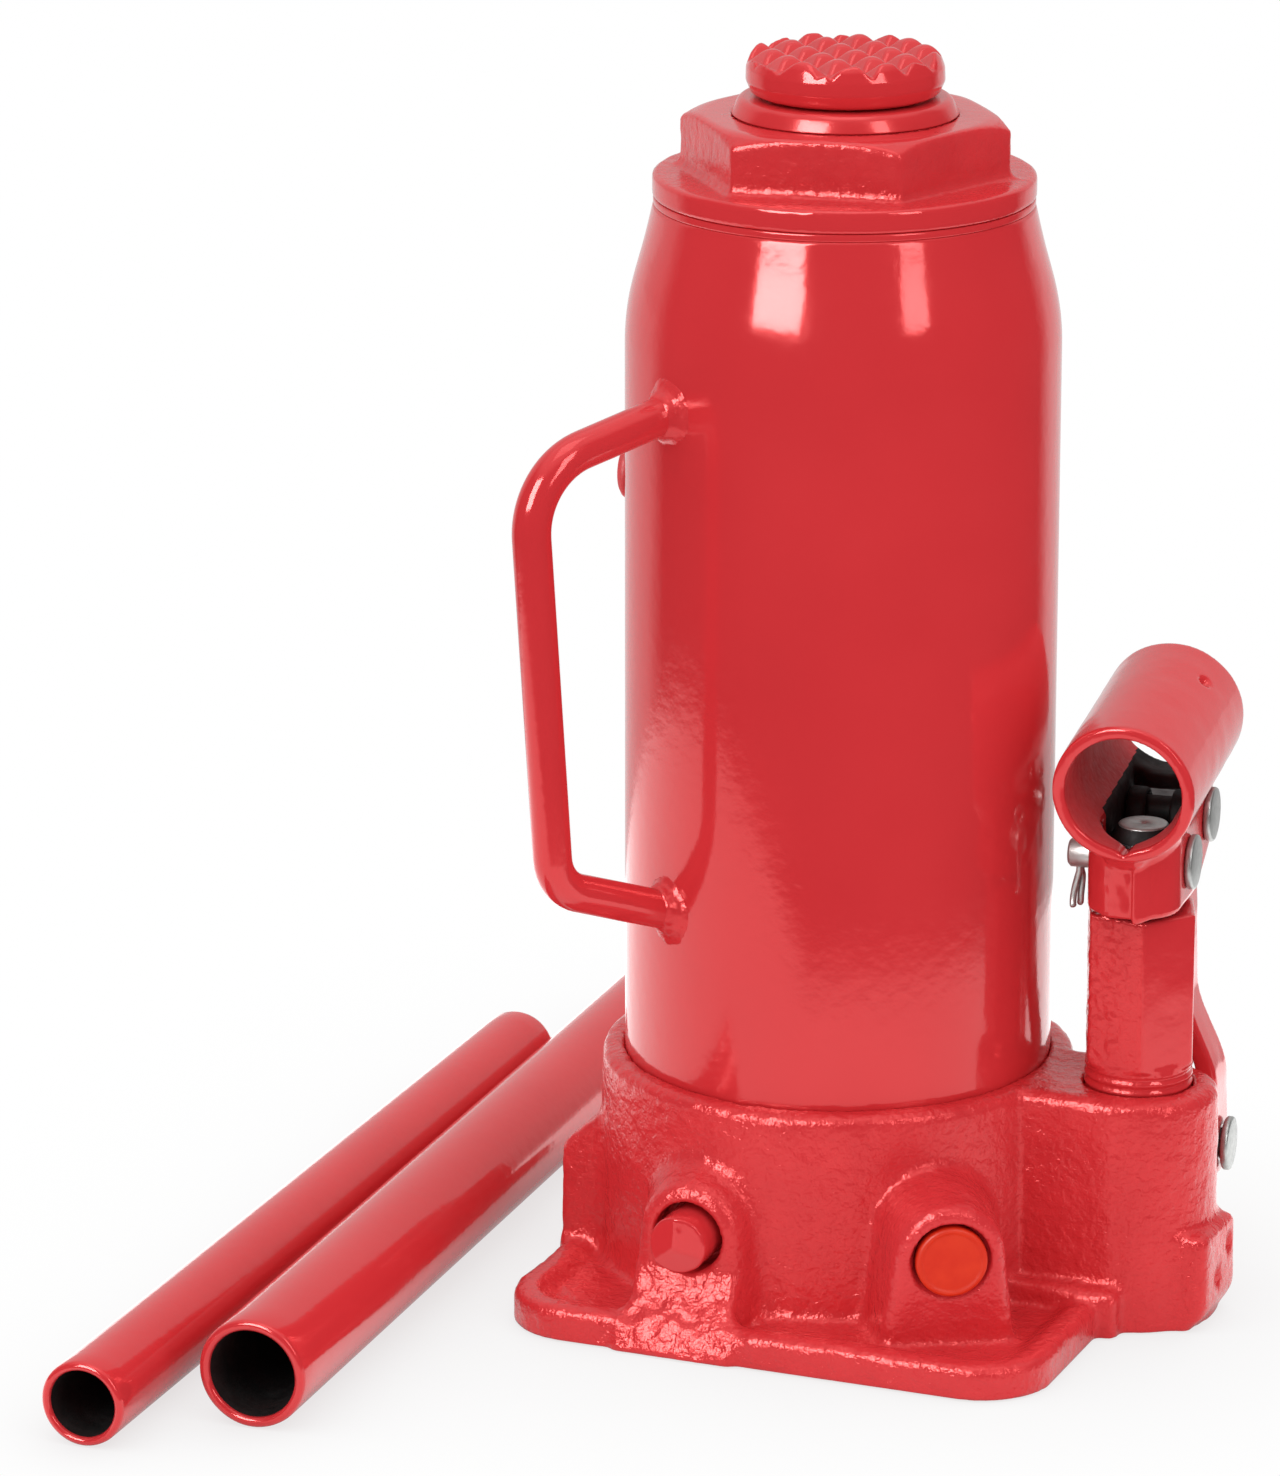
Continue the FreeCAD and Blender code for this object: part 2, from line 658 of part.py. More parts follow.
def cotter(at, tail):
    """Split pin bent from one wire: an eye above the pin and two legs that hang below it."""
    x = COTTER_INSET - tail
    y, z = at
    neck = z + PIN_R + COTTER_R
    leg = COTTER_R + COTTER_GAP
    half = [(leg, z - COTTER_LEG), (leg, neck), (COTTER_EYE, neck + COTTER_SHOULDER), (COTTER_EYE, neck + 2 * COTTER_EYE)]
    path = [V(x, y - dy, dz) for dy, dz in half] + [V(x, y + dy, dz) for dy, dz in reversed(half)]
    bends = (COTTER_BEND, COTTER_BEND, COTTER_EYE - COTTER_GAP)
    wire = bent_path(path, bends + tuple(reversed(bends)))
    section = Part.Wire(Part.makeCircle(COTTER_R, path[0], Z_AXIS))
    return in_pump_frame(wire.makePipeShell([section], True, False))


def link_plate(side):
    """Flat bar link, joggled outward below so that it passes from inside the clevis to outside the lug."""
    top_y, top_z = UPPER_PIN
    low_y, low_z = LOWER_PIN
    end = (top_y + LINK_TOP_SHIFT[0], top_z + LINK_TOP_SHIFT[1])
    outline = [
        (0, end[0] - LINK_TOP_R, end[1]),
        (0, end[0] - LINK_FRONT, LINK_FRONT_Z),
        (0, low_y - LINK_LOW_R, low_z),
        (0, low_y + LINK_LOW_R, low_z),
        (0, end[0] + LINK_TOP_R, end[1]),
    ]
    reach = LINK_IN_LOW + LINK_THICK + OVER
    face = fused([
        prism(outline, V(reach, 0, 0)),
        rod_x(LINK_TOP_R, 0, reach, end),
        rod_x(LINK_LOW_R, 0, reach, LOWER_PIN),
    ])
    low = low_z - LINK_LOW_R - OVER
    high = top_z + LINK_TOP_R + OVER
    inner = [(LINK_IN_LOW, low), (LINK_IN_LOW, JOGGLE_Z[0]), (LINK_IN_TOP, JOGGLE_Z[1]), (LINK_IN_TOP, high)]
    outer = [(x + LINK_THICK, z) for x, z in reversed(inner)]
    profile = prism([(x, 0, z) for x, z in inner + outer], V(0, 2 * low_y, 0))
    plate = face.common(profile)
    plate = plate.cut(rod_x(UPPER_PIN_HOLE, 0, reach, (top_y + UPPER_HOLE_SHIFT, top_z)))
    plate = plate.cut(rod_x(PIN_R + PIN_SLIP, 0, reach, LOWER_PIN))
    if side < 0:
        plate = plate.mirror(V(0, 0, 0), X_AXIS)
    return in_pump_frame(plate.removeSplitter())


# ---- valves ----
def ball(x, y, z):
    return Part.makeSphere(BALL_R, V(x, y, z))


def release_valve_screw():
    """Stub with a faceted end, thread and nose that presses on the ball."""
    thread_front, thread_rear = RELEASE_THREAD_Y
    tip = RELEASE_BALL_Y - BALL_R
    x, z = RELEASE_AT
    stub = rod_y(RELEASE_STUB_R, RELEASE_STUB + RELEASE_TIP, thread_front, RELEASE_AT)
    facets = Part.makeCone(RELEASE_TIP_R, RELEASE_STUB_R, RELEASE_TIP, V(x, RELEASE_STUB, z), Y_AXIS)
    thread = rod_y(RELEASE_THREAD_R, thread_front, thread_rear, RELEASE_AT)
    nose = rod_y(RELEASE_NOSE_R, thread_rear, tip - SLIP / 2, RELEASE_AT)
    return fused([stub, facets, thread, nose])


def relief_spring():
    """Closed helical spring of round wire."""
    start, end = RELIEF_SPRING_Y
    length = end - start - 2 * RELIEF_WIRE
    x, z = RELIEF_AT
    helix = Part.makeHelix(length / RELIEF_COILS, length, RELIEF_SPRING_R)
    section = Part.Wire(Part.makeCircle(RELIEF_WIRE, V(RELIEF_SPRING_R, 0, 0), Y_AXIS))
    spring = Part.Wire(helix.Edges).makePipeShell([section], True, True)
    spring.rotate(V(0, 0, 0), X_AXIS, -90)
    spring.translate(V(x, start + RELIEF_WIRE, z))
    return in_relief_frame(spring)


def safety_valve_plug():
    """Pressed plug with a domed rim that covers the overload valve's screw."""
    front, seat = RELIEF_PLUG_Y
    rim = rod_y(RELIEF_PLUG_R, front, seat, RELIEF_AT)
    rim = rounded(rim, RELIEF_PLUG_ROUND, lambda e: at_front(e, front))
    stem = rod_y(RELIEF_BORE, seat, RELIEF_SCREW_Y[0] - SLIP, RELIEF_AT)
    return in_relief_frame(fused([rim, stem]))


# ---- carry handle ----
def bent_path(points, bends):
    """Wire through points in the handle's plane, with an arc at each inner corner."""
    edges = []
    start = points[0]
    for k, radius in enumerate(bends):
        corner = points[k + 1]
        back = (points[k] - corner).normalize()
        ahead = (points[k + 2] - corner).normalize()
        half = back.getAngle(ahead) / 2
        trim = radius / math.tan(half)
        enter = corner + back * trim
        leave = corner + ahead * trim
        middle_dir = (back + ahead).normalize()
        middle = corner + middle_dir * (radius / math.sin(half) - radius)
        edges.append(Part.makeLine(start, enter))
        edges.append(Part.Arc(enter, middle, leave).toShape())
        start = leave
    edges.append(Part.makeLine(start, points[-1]))
    return Part.Wire(edges)


def handle_points():
    a = math.radians(HANDLE_ANGLE)
    return [V(rho * math.cos(a), rho * math.sin(a), z) for rho, z in HANDLE_PATH]


def carry_handle():
    points = handle_points()
    path = bent_path(points, HANDLE_BENDS)
    along = (points[1] - points[0]).normalize()
    section = Part.Wire(Part.makeCircle(HANDLE_R, points[0], along))
    bar = path.makePipeShell([section], True, False)
    return bar.cut(rod(TUBE_R, 0, HEX_TOP))


def carry_handle_welds():
    """Ring of weld metal at each end of the carry handle, resting on the reservoir."""
    points = handle_points()
    beads = []
    for end, inner in ((points[0], points[1]), (points[3], points[2])):
        along = (inner - end).normalize()
        bead = Part.makeCone(WELD_R, HANDLE_R + WELD_EDGE, WELD_H, end, along)
        bead = bead.cut(Part.makeCylinder(HANDLE_R, 3 * WELD_H, end - along * WELD_H, along))
        beads.append(bead.cut(rod(TUBE_R, 0, HEX_TOP)))
    return Part.makeCompound(beads)


# ---- loose lever tubes ----
def lever_tube(outer, bore, length, at, angle):
    a = math.radians(angle)
    along = V(math.cos(a), math.sin(a), 0)
    start = V(at[0], at[1], outer)
    tube = Part.makeCylinder(outer, length, start, along)
    return tube.cut(Part.makeCylinder(bore, length + 2 * OVER, start - along * OVER, along))


def model():
    """Every node's name with its shape."""
    discharge = (DISCHARGE_X, 0)
    pump = (PUMP_X, 0)
    lug_seat = LINK_IN_LOW + LINK_THICK + LINK_CLEAR
    clevis_seat = CLEVIS_HALF + CLEVIS_CLEAR
    return {
        "base_casting": base_casting(),
        "reservoir_tube": reservoir_tube(),
        "top_nut": top_nut(),
        "pressure_cylinder": ring(CYL_BORE, CYL_R, CYL_SEAT + GASKET, CYL_TOP),
        "cylinder_base_gasket": ring(CYL_BORE, CYL_R, CYL_SEAT, CYL_SEAT + GASKET),
        "reservoir_base_gasket": ring(TUBE_R - TUBE_WALL, TUBE_R, TUBE_FOOT - GASKET, TUBE_FOOT),
        "reservoir_top_gasket": ring(SKIRT_R + SLIP, TOP_GASKET_R, FLANGE_Z[0] - TOP_GASKET, FLANGE_Z[0]),
        "gland_o_ring": ring(RAM_R + SLIP, RAM_R + GLAND_GROOVE / 2, *O_RING_Z),
        "ram_wiper_ring": ring(RAM_R + SLIP, RAM_R + GLAND_GROOVE, *WIPER_Z),
        "ram": ram(),
        "piston_seal": ring(PISTON_GROOVE_R, CYL_BORE - SLIP, *PISTON_SEAL_Z),
        "piston_wear_ring": ring(PISTON_GROOVE_R, CYL_BORE - SLIP, *WEAR_RING_Z),
        "extension_screw": extension_screw(),
        "screw_stop_ring": ring(STOP_RING_IN + SLIP, STOP_RING_OUT, STOP_RING_Z[0] + SLIP, STOP_RING_Z[1] - SLIP),
        "pump_cylinder": pump_cylinder(),
        "pump_cylinder_gasket": ring(PUMP_GASKET_IN, PUMP_NECK_R, PUMP_NECK_FOOT - GASKET, PUMP_NECK_FOOT, pump),
        "plunger_seal": ring(PLUNGER_R + SLIP, SEAL_R, *SEAL_Z, pump),
        "pump_plunger": pump_plunger(),
        "suction_ball": ball(PUMP_X, 0, SUCTION_BALL_Z),
        "discharge_ball": ball(DISCHARGE_X, 0, DISCHARGE_BALL_Z),
        "passage_plug": rod(PLUG_R, *PLUG_Z, discharge),
        "oil_strainer": rod(STRAINER_R, *STRAINER_Z, STRAINER_AT),
        "handle_socket": handle_socket(),
        "plunger_pin": clevis_pin(PLUNGER_PIN, clevis_seat, PIN_TAIL),
        "plunger_pin_cotter": cotter(PLUNGER_PIN, PIN_TAIL),
        "upper_link_pin": clevis_pin(UPPER_PIN, clevis_seat, PIN_TAIL),
        "upper_link_cotter": cotter(UPPER_PIN, PIN_TAIL),
        "lower_link_pin": clevis_pin(LOWER_PIN, lug_seat, LOWER_PIN_TAIL),
        "lower_link_cotter": cotter(LOWER_PIN, LOWER_PIN_TAIL),
        "link_plates": Part.makeCompound([link_plate(1), link_plate(-1)]),
        "release_valve_screw": release_valve_screw(),
        "release_ball": ball(RELEASE_AT[0], RELEASE_BALL_Y, RELEASE_AT[1]),
        "relief_screw": in_relief_frame(rod_y(RELIEF_SCREW_R, *RELIEF_SCREW_Y, RELIEF_AT)),
        "relief_spring": relief_spring(),
        "relief_ball": in_relief_frame(ball(RELIEF_AT[0], RELIEF_BALL_Y, RELIEF_AT[1])),
        "safety_valve_plug": safety_valve_plug(),
        "oil_filler_plug": oil_filler_plug(),
        "carry_handle": carry_handle(),
        "carry_handle_welds": carry_handle_welds(),
        "lower_lever_tube": lever_tube(
            LOWER_LEVER_R, LOWER_LEVER_BORE, LOWER_LEVER_LENGTH, LOWER_LEVER_AT, LOWER_LEVER_ANGLE
        ),
        "upper_lever_tube": lever_tube(
            UPPER_LEVER_R, UPPER_LEVER_BORE, UPPER_LEVER_LENGTH, UPPER_LEVER_AT, UPPER_LEVER_ANGLE
        ),
    }


def write_parts():
    os.makedirs("parts", exist_ok=True)
    for name, shape in model().items():
        shape.exportStep(os.path.join("parts", name + ".step"))
        print(name, "solids", len(shape.Solids), "valid", shape.isValid(), "volume", round(shape.Volume, 1))


write_parts()
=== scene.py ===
import json
import math

import bpy
import numpy as np
from mathutils import Matrix, Vector


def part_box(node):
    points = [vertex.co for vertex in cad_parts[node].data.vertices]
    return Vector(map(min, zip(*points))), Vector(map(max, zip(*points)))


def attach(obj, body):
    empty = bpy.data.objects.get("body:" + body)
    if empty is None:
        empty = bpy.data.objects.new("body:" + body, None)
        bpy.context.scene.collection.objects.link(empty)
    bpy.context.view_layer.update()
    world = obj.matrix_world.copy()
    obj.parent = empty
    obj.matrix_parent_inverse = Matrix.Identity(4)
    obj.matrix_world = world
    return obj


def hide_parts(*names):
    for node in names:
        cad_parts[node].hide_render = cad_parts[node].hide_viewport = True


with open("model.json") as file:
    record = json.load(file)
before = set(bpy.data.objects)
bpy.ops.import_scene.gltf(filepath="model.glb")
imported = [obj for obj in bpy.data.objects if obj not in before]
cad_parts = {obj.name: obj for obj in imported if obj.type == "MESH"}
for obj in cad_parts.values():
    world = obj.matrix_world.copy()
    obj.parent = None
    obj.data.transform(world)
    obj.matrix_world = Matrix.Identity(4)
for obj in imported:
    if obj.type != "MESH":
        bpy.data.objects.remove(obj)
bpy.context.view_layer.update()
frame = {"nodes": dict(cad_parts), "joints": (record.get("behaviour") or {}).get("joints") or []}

# Lengths below are in millimetres. Meshes are scaled to metres when they are made.
MM = 0.001


def box_mm(node):
    """A CAD node's lowest and highest corners in millimetres."""
    low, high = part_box(node)
    return np.array(low) / MM, np.array(high) / MM


def joint(name):
    return next(j for j in frame["joints"] if j["name"] == name)


# ---- places and sizes, from the frame ----
CASTING_HIGH = box_mm("base_casting")[1]
TUBE_LOW, TUBE_HIGH = box_mm("reservoir_tube")
NUT_LOW, NUT_HIGH = box_mm("top_nut")
RAM_HIGH = box_mm("ram")[1]
SCREW_LOW, SCREW_HIGH = box_mm("extension_screw")
BARREL_LOW, BARREL_HIGH = box_mm("pump_cylinder")
PLUNGER_LOW, PLUNGER_HIGH = box_mm("pump_plunger")
STUB_LOW, STUB_HIGH = box_mm("release_valve_screw")
RELIEF_BALL_LOW, RELIEF_BALL_HIGH = box_mm("relief_ball")

TUBE_R = (TUBE_HIGH[0] - TUBE_LOW[0]) / 2
COLLAR_TOP = CASTING_HIGH[2]
COLLAR_R = 44.0
COLLAR_TAPER = 0.012
PUMP_X = (PLUNGER_LOW[0] + PLUNGER_HIGH[0]) / 2
PUMP_BOSS_R = 14.5
FOOT_X = (-45.4, 57.6)
FOOT_HALF_Y = 57.2
FOOT_CORNER = 13.5
FOOT_THICK = 6.5
FOOT_DISH = 1.9
RELEASE_FACE_Y = -50.0
RELEASE_ARCH_R = 9.1
RELEASE_BORE_R = 6.5
RELIEF_ARCH_R = 10.1
VALVE_BORE_END = -43.0
PUMP_BORE_R = 10.0
BLOCK_X = -46.0
BLOCK_HALF_Y = 22.9
LUG_R = 6.0
LUG_HALF = 7.0
SOCKET_AXIS = Vector(joint("socket_swing")["axis"])
PUMP_YAW = math.atan2(-SOCKET_AXIS.y, -SOCKET_AXIS.x)
RELEASE_X = (STUB_LOW[0] + STUB_HIGH[0]) / 2
RELEASE_Z = (STUB_LOW[2] + STUB_HIGH[2]) / 2
RELIEF_OUT = Vector(joint("relief_ball_lift")["axis"])
RELIEF_TURN = math.atan2(RELIEF_OUT.x, -RELIEF_OUT.y)
RELIEF_DEPTH = 28.0
RELIEF_FACE = Vector((RELIEF_BALL_LOW + RELIEF_BALL_HIGH) / 2) + RELIEF_OUT * RELIEF_DEPTH
RELIEF_FRAME = Matrix.Translation(RELIEF_FACE) @ Matrix.Rotation(RELIEF_TURN, 4, "Z")
PUMP_FRAME = Matrix.Translation((PUMP_X, 0, 0)) @ Matrix.Rotation(PUMP_YAW, 4, "Z")


def pump_local(point_m):
    """A point of the frame, in metres, as (across, back, up) millimetres in the pump's own frame."""
    return np.array(PUMP_FRAME.inverted() @ (Vector(point_m) / MM))


PLUNGER_PIN = pump_local(joint("socket_swing")["pos_m"])
LOWER_PIN = pump_local(joint("link_swing")["pos_m"])


def turned_plan(x, y, at, angle):
    """Across and back distances from a point, in axes turned by an angle about Z."""
    across = (x - at[0]) * math.cos(angle) + (y - at[1]) * math.sin(angle)
    back = (y - at[1]) * math.cos(angle) - (x - at[0]) * math.sin(angle)
    return across, back


def node_middle(node):
    low, high = box_mm(node)
    return pump_local(Vector((low + high) / 2) * MM)


UPPER_PIN = node_middle("upper_link_pin")


# ---- meshes ----
def make_object(name, verts, faces, matrix=None, smooth=True):
    """Mesh object from millimetre points, first moved by a matrix if one is given."""
    points = np.asarray(verts, float)
    if matrix is not None:
        m = np.array(matrix)
        points = points @ m[:3, :3].T + m[:3, 3]
    mesh = bpy.data.meshes.new(name)
    mesh.from_pydata((points * MM).tolist(), [], [list(map(int, f)) for f in faces])
    mesh.update()
    if smooth:
        mesh.polygons.foreach_set("use_smooth", [True] * len(mesh.polygons))
    obj = bpy.data.objects.new(name, mesh)
    bpy.context.scene.collection.objects.link(obj)
    return obj


def grid_faces(rows, columns, wrap_rows=False, wrap_columns=True, offset=0):
    """Quads of a rows by columns sheet of points."""
    faces = []
    for i in range(rows if wrap_rows else rows - 1):
        for j in range(columns if wrap_columns else columns - 1):
            a = i * columns + j
            b = i * columns + (j + 1) % columns
            c = ((i + 1) % rows) * columns + (j + 1) % columns
            d = ((i + 1) % rows) * columns + j
            faces.append((offset + a, offset + b, offset + c, offset + d))
    return faces


def capped(verts, rows, columns, low, high):
    """Points and faces of a rows by columns sleeve closed by a fan to a low and a high point."""
    faces = grid_faces(rows, columns)
    last = (rows - 1) * columns
    for j in range(columns):
        k = (j + 1) % columns
        faces.append((len(verts), k, j))
        faces.append((len(verts) + 1, last + j, last + k))
    return verts + [low, high], faces


def rounded_outline(points, radius, steps=4):
    """Closed outline with each corner turned into a short arc."""
    count = len(points)
    radii = radius if hasattr(radius, "__len__") else [radius] * count
    out = []
    for k in range(count):
        here = np.array(points[k], float)
        back = np.array(points[k - 1], float) - here
        ahead = np.array(points[(k + 1) % count], float) - here
        lengths = np.linalg.norm(back), np.linalg.norm(ahead)
        trim = min(radii[k], lengths[0] * 0.45, lengths[1] * 0.45)
        if trim < 1e-4:
            out.append(here)
            continue
        start = here + back / lengths[0] * trim
        end = here + ahead / lengths[1] * trim
        for s in range(steps + 1):
            t = s / steps
            out.append((1 - t) ** 2 * start + 2 * t * (1 - t) * here + t * t * end)
    return np.array(out)


def lathe(name, outline, segments=96, matrix=None, wobble=0.0):
    """Closed (radius, height) outline turned about Z. The outline runs up its outer side."""
    outline = np.asarray(outline, float)
    angles = np.linspace(0, 2 * math.pi, segments, endpoint=False)
    ring = np.stack([np.cos(angles), np.sin(angles)], 1)
    uneven = 1 + wobble * np.sin(3 * angles + 1.0) + wobble * 0.6 * np.sin(7 * angles)
    verts = [
        (r * c * u, r * s * u, z) for r, z in outline for (c, s), u in zip(ring, uneven)
    ]
    return make_object(name, verts, grid_faces(len(outline), segments, wrap_rows=True), matrix)


def lathe_solid(name, outline, segments=96, matrix=None):
    """(radius, height) line from axis to axis turned about Z."""
    outline = np.asarray(outline, float)
    angles = np.linspace(0, 2 * math.pi, segments, endpoint=False)
    inner = outline[1:-1]
    verts = [(r * math.cos(a), r * math.sin(a), z) for r, z in inner for a in angles]
    ends = [(0, 0, outline[k][1]) for k in (0, -1)]
    return make_object(name, *capped(verts, len(inner), segments, *ends), matrix)


def tube_along(name, path, radius, segments=20, matrix=None, squeeze=None):
    """Round bar along a line of points, with rounded ends. squeeze gives each point's share of the radius."""
    path = np.asarray(path, float)
    tangents = np.gradient(path, axis=0)
    tangents /= np.linalg.norm(tangents, axis=1)[:, None]
    side = np.cross(tangents[0], (0.31, 0.77, 0.55))
    share = np.ones(len(path)) if squeeze is None else np.asarray(squeeze, float)
    angles = np.linspace(0, 2 * math.pi, segments, endpoint=False)
    verts = []
    for k, centre in enumerate(path):
        side = side - tangents[k] * np.dot(side, tangents[k])
        side /= np.linalg.norm(side)
        other = np.cross(tangents[k], side)
        for a in angles:
            verts.append(centre + (side * math.cos(a) + other * math.sin(a)) * radius * share[k])
    return make_object(name, *capped(verts, len(path), segments, path[0], path[-1]), matrix)


def bent_line(points, radii, spacing=1.2):
    """Points along a line of straight runs joined by circular bends."""
    points = [np.array(p, float) for p in points]
    out = [points[0]]
    for k in range(1, len(points) - 1):
        back = points[k - 1] - points[k]
        ahead = points[k + 1] - points[k]
        back /= np.linalg.norm(back)
        ahead /= np.linalg.norm(ahead)
        half = math.acos(np.clip(np.dot(back, ahead), -1, 1)) / 2
        trim = radii[k - 1] / math.tan(half)
        middle = points[k] + (back + ahead) / np.linalg.norm(back + ahead) * radii[k - 1] / math.sin(half)
        start = points[k] + back * trim - middle
        end = points[k] + ahead * trim - middle
        sweep = math.pi - 2 * half
        steps = max(4, int(sweep * radii[k - 1] / spacing))
        run = int(np.linalg.norm(middle + start - out[-1]) / spacing)
        first = out[-1]
        out += [first + (middle + start - first) * t for t in np.linspace(0, 1, max(run, 2) + 1)[1:]]
        for s in range(1, steps + 1):
            t = s / steps
            out.append(middle + (start * math.sin((1 - t) * sweep) + end * math.sin(t * sweep)) / math.sin(sweep))
    run = max(2, int(np.linalg.norm(points[-1] - out[-1]) / spacing))
    first = out[-1]
    out += [first + (points[-1] - first) * t for t in np.linspace(0, 1, run + 1)[1:]]
    return np.array(out)


def curve_through(points, steps=6):
    """Points along a smooth curve through the given ones, in a plane or in space."""
    points = np.array(points, float)
    padded = np.vstack([2 * points[0] - points[1], points, 2 * points[-1] - points[-2]])
    out = []
    for k in range(1, len(padded) - 2):
        a, b, c, d = padded[k - 1:k + 3]
        for s in range(steps):
            t = s / steps
            square = (2 * a - 5 * b + 4 * c - d) * t * t
            cube = (3 * b - a - 3 * c + d) * t ** 3
            out.append(0.5 * (2 * b + (c - a) * t + square + cube))
    return np.vstack([out, points[-1:]])


# ---- solids as distance fields: negative inside, in millimetres ----
def smooth_min(a, b, blend):
    """Union with a fillet."""
    h = np.clip(0.5 + 0.5 * (b - a) / blend, 0, 1)
    return b + (a - b) * h - blend * h * (1 - h)


def smooth_max(a, b, blend):
    """Overlap with a rounded edge."""
    return -smooth_min(-a, -b, blend)


def slab(value, low, high):
    """Distance outside the span from low to high."""
    return np.maximum(low - value, value - high)


def box_field(x, y, z, spans, edge=1.0):
    """Box from three (low, high) spans with rounded edges."""
    d = smooth_max(slab(x, *spans[0]), slab(y, *spans[1]), edge)
    return smooth_max(d, slab(z, *spans[2]), edge)


def rounded_rectangle(x, y, half_x, half_y, corner):
    qx = np.abs(x) - half_x + corner
    qy = np.abs(y) - half_y + corner
    return np.hypot(np.maximum(qx, 0), np.maximum(qy, 0)) + np.minimum(np.maximum(qx, qy), 0) - corner


def lattice_noise(axes, size, seed):
    """Smooth noise of about unit height on a grid, from random values at points `size` apart."""
    rng = np.random.default_rng(seed)
    weights = []
    shape = []
    for values in axes:
        place = (values - values[0]) / size
        base = np.floor(place).astype(int)
        t = place - base
        t = t * t * (3 - 2 * t)
        table = np.zeros((len(values), base[-1] + 2))
        table[np.arange(len(values)), base] = 1 - t
        table[np.arange(len(values)), base + 1] = t
        weights.append(table)
        shape.append(base[-1] + 2)
    lattice = rng.uniform(-1, 1, shape)
    for axis, table in enumerate(weights):
        lattice = np.moveaxis(np.tensordot(table, lattice, axes=(1, axis)), 0, axis)
    return lattice


def field_object(name, low, high, step, field, matrix=None):
    """Closed quad mesh of a field's zero surface: one point in each cell the surface crosses."""
    axes = [np.arange(a, b + step, step) for a, b in zip(low, high)]
    x, y, z = np.meshgrid(*axes, indexing="ij", sparse=True)
    values = np.broadcast_to(field(x, y, z, axes), [len(a) for a in axes]).astype(np.float32)
    inside = values < 0
    cells = tuple(n - 1 for n in values.shape)
    corners = [(i, j, k) for i in (0, 1) for j in (0, 1) for k in (0, 1)]
    count = sum(
        inside[i:i + cells[0], j:j + cells[1], k:k + cells[2]].astype(np.int8) for i, j, k in corners
    )
    where = np.argwhere((count > 0) & (count < 8))
    at = {c: values[where[:, 0] + c[0], where[:, 1] + c[1], where[:, 2] + c[2]] for c in corners}
    total = np.zeros((len(where), 3))
    hits = np.zeros(len(where))
    for a in corners:
        for axis in range(3):
            if a[axis]:
                continue
            b = tuple(1 if n == axis else v for n, v in enumerate(a))
            cross = (at[a] < 0) != (at[b] < 0)
            with np.errstate(divide="ignore", invalid="ignore"):
                t = np.where(cross, at[a] / (at[a] - at[b]), 0.0)
            point = np.array(a, float) + np.outer(t, np.eye(3)[axis])
            total[cross] += point[cross]
            hits += cross
    verts = (where + total / hits[:, None]) * step + np.array([a[0] for a in axes])
    index = np.full(cells, -1, np.int64)
    index[tuple(where.T)] = np.arange(len(where))
    faces = []
    for axis in range(3):
        u, v = (axis + 1) % 3, (axis + 2) % 3
        first = [slice(None)] * 3
        second = [slice(None)] * 3
        first[axis] = slice(0, -1)
        second[axis] = slice(1, None)
        change = inside[tuple(first)] != inside[tuple(second)]
        edge = np.argwhere(change)
        edge = edge[(edge[:, u] > 0) & (edge[:, v] > 0) & (edge[:, u] < cells[u]) & (edge[:, v] < cells[v])]
        ring = []
        for du, dv in ((1, 1), (0, 1), (0, 0), (1, 0)):
            cell = edge.copy()
            cell[:, u] -= du
            cell[:, v] -= dv
            ring.append(index[tuple(cell.T)])
        quad = np.stack(ring, 1)
        flip = ~inside[tuple(edge.T)]
        quad[flip] = quad[flip][:, ::-1]
        faces.append(quad)
    return make_object(name, verts, np.concatenate(faces), matrix)


def thinned(obj, triangles):
    """Merges the mesh's flattest faces until about this many triangles are left."""
    count = sum(len(p.vertices) - 2 for p in obj.data.polygons)
    if count <= triangles:
        return obj
    modifier = obj.modifiers.new("thin", "DECIMATE")
    modifier.ratio = triangles / count
    bake(obj)
    return obj


def bake(obj):
    """Applies an object's modifiers to its mesh."""
    graph = bpy.context.evaluated_depsgraph_get()
    mesh = bpy.data.meshes.new_from_object(obj.evaluated_get(graph))
    obj.modifiers.clear()
    obj.data = mesh
    mesh.polygons.foreach_set("use_smooth", [True] * len(mesh.polygons))


def bored(obj, cutter):
    """Cuts one closed object out of another and removes the cutter."""
    modifier = obj.modifiers.new("bore", "BOOLEAN")
    modifier.operation = "DIFFERENCE"
    modifier.solver = "EXACT"
    modifier.object = cutter
    bpy.context.view_layer.update()
    bake(obj)
    bpy.data.objects.remove(cutter)


# ---- materials ----
class Tree:
    """Short way to build a node tree."""

    def __init__(self, tree):
        self.tree = tree
        self.tree.nodes.clear()

    def add(self, kind, **settings):
        node = self.tree.nodes.new("ShaderNode" + kind)
        for key, value in settings.items():
            setattr(node, key, value)
        return node

    def link(self, source, target):
        self.tree.links.new(source, target)

    def put(self, target, value):
        if hasattr(value, "is_linked"):
            self.link(value, target)
        else:
            target.default_value = value

    def vector(self, operation, a, b=None, result="Vector"):
        node = self.add("VectorMath", operation=operation)
        self.put(node.inputs[0], a)
        if b is not None:
            self.put(node.inputs[1], b)
        return node.outputs[result]

    def math(self, operation, a, b=0.0, c=0.0):
        node = self.add("Math", operation=operation)
        for k, value in enumerate((a, b, c)):
            self.put(node.inputs[k], value)
        return node.outputs[0]

    def span(self, value, low, high, to_low, to_high):
        """Maps a value from one range to another and holds it at the ends."""
        node = self.add("MapRange")
        keys = ("Value", "From Min", "From Max", "To Min", "To Max")
        for key, number in zip(keys, (value, low, high, to_low, to_high)):
            self.put(node.inputs[key], number)
        return node.outputs[0]

    def between(self, factor, a, b):
        """Number from a to b by a factor."""
        node = self.add("Mix")
        for k, value in ((0, factor), (2, a), (3, b)):
            self.put(node.inputs[k], value)
        return node.outputs[0]


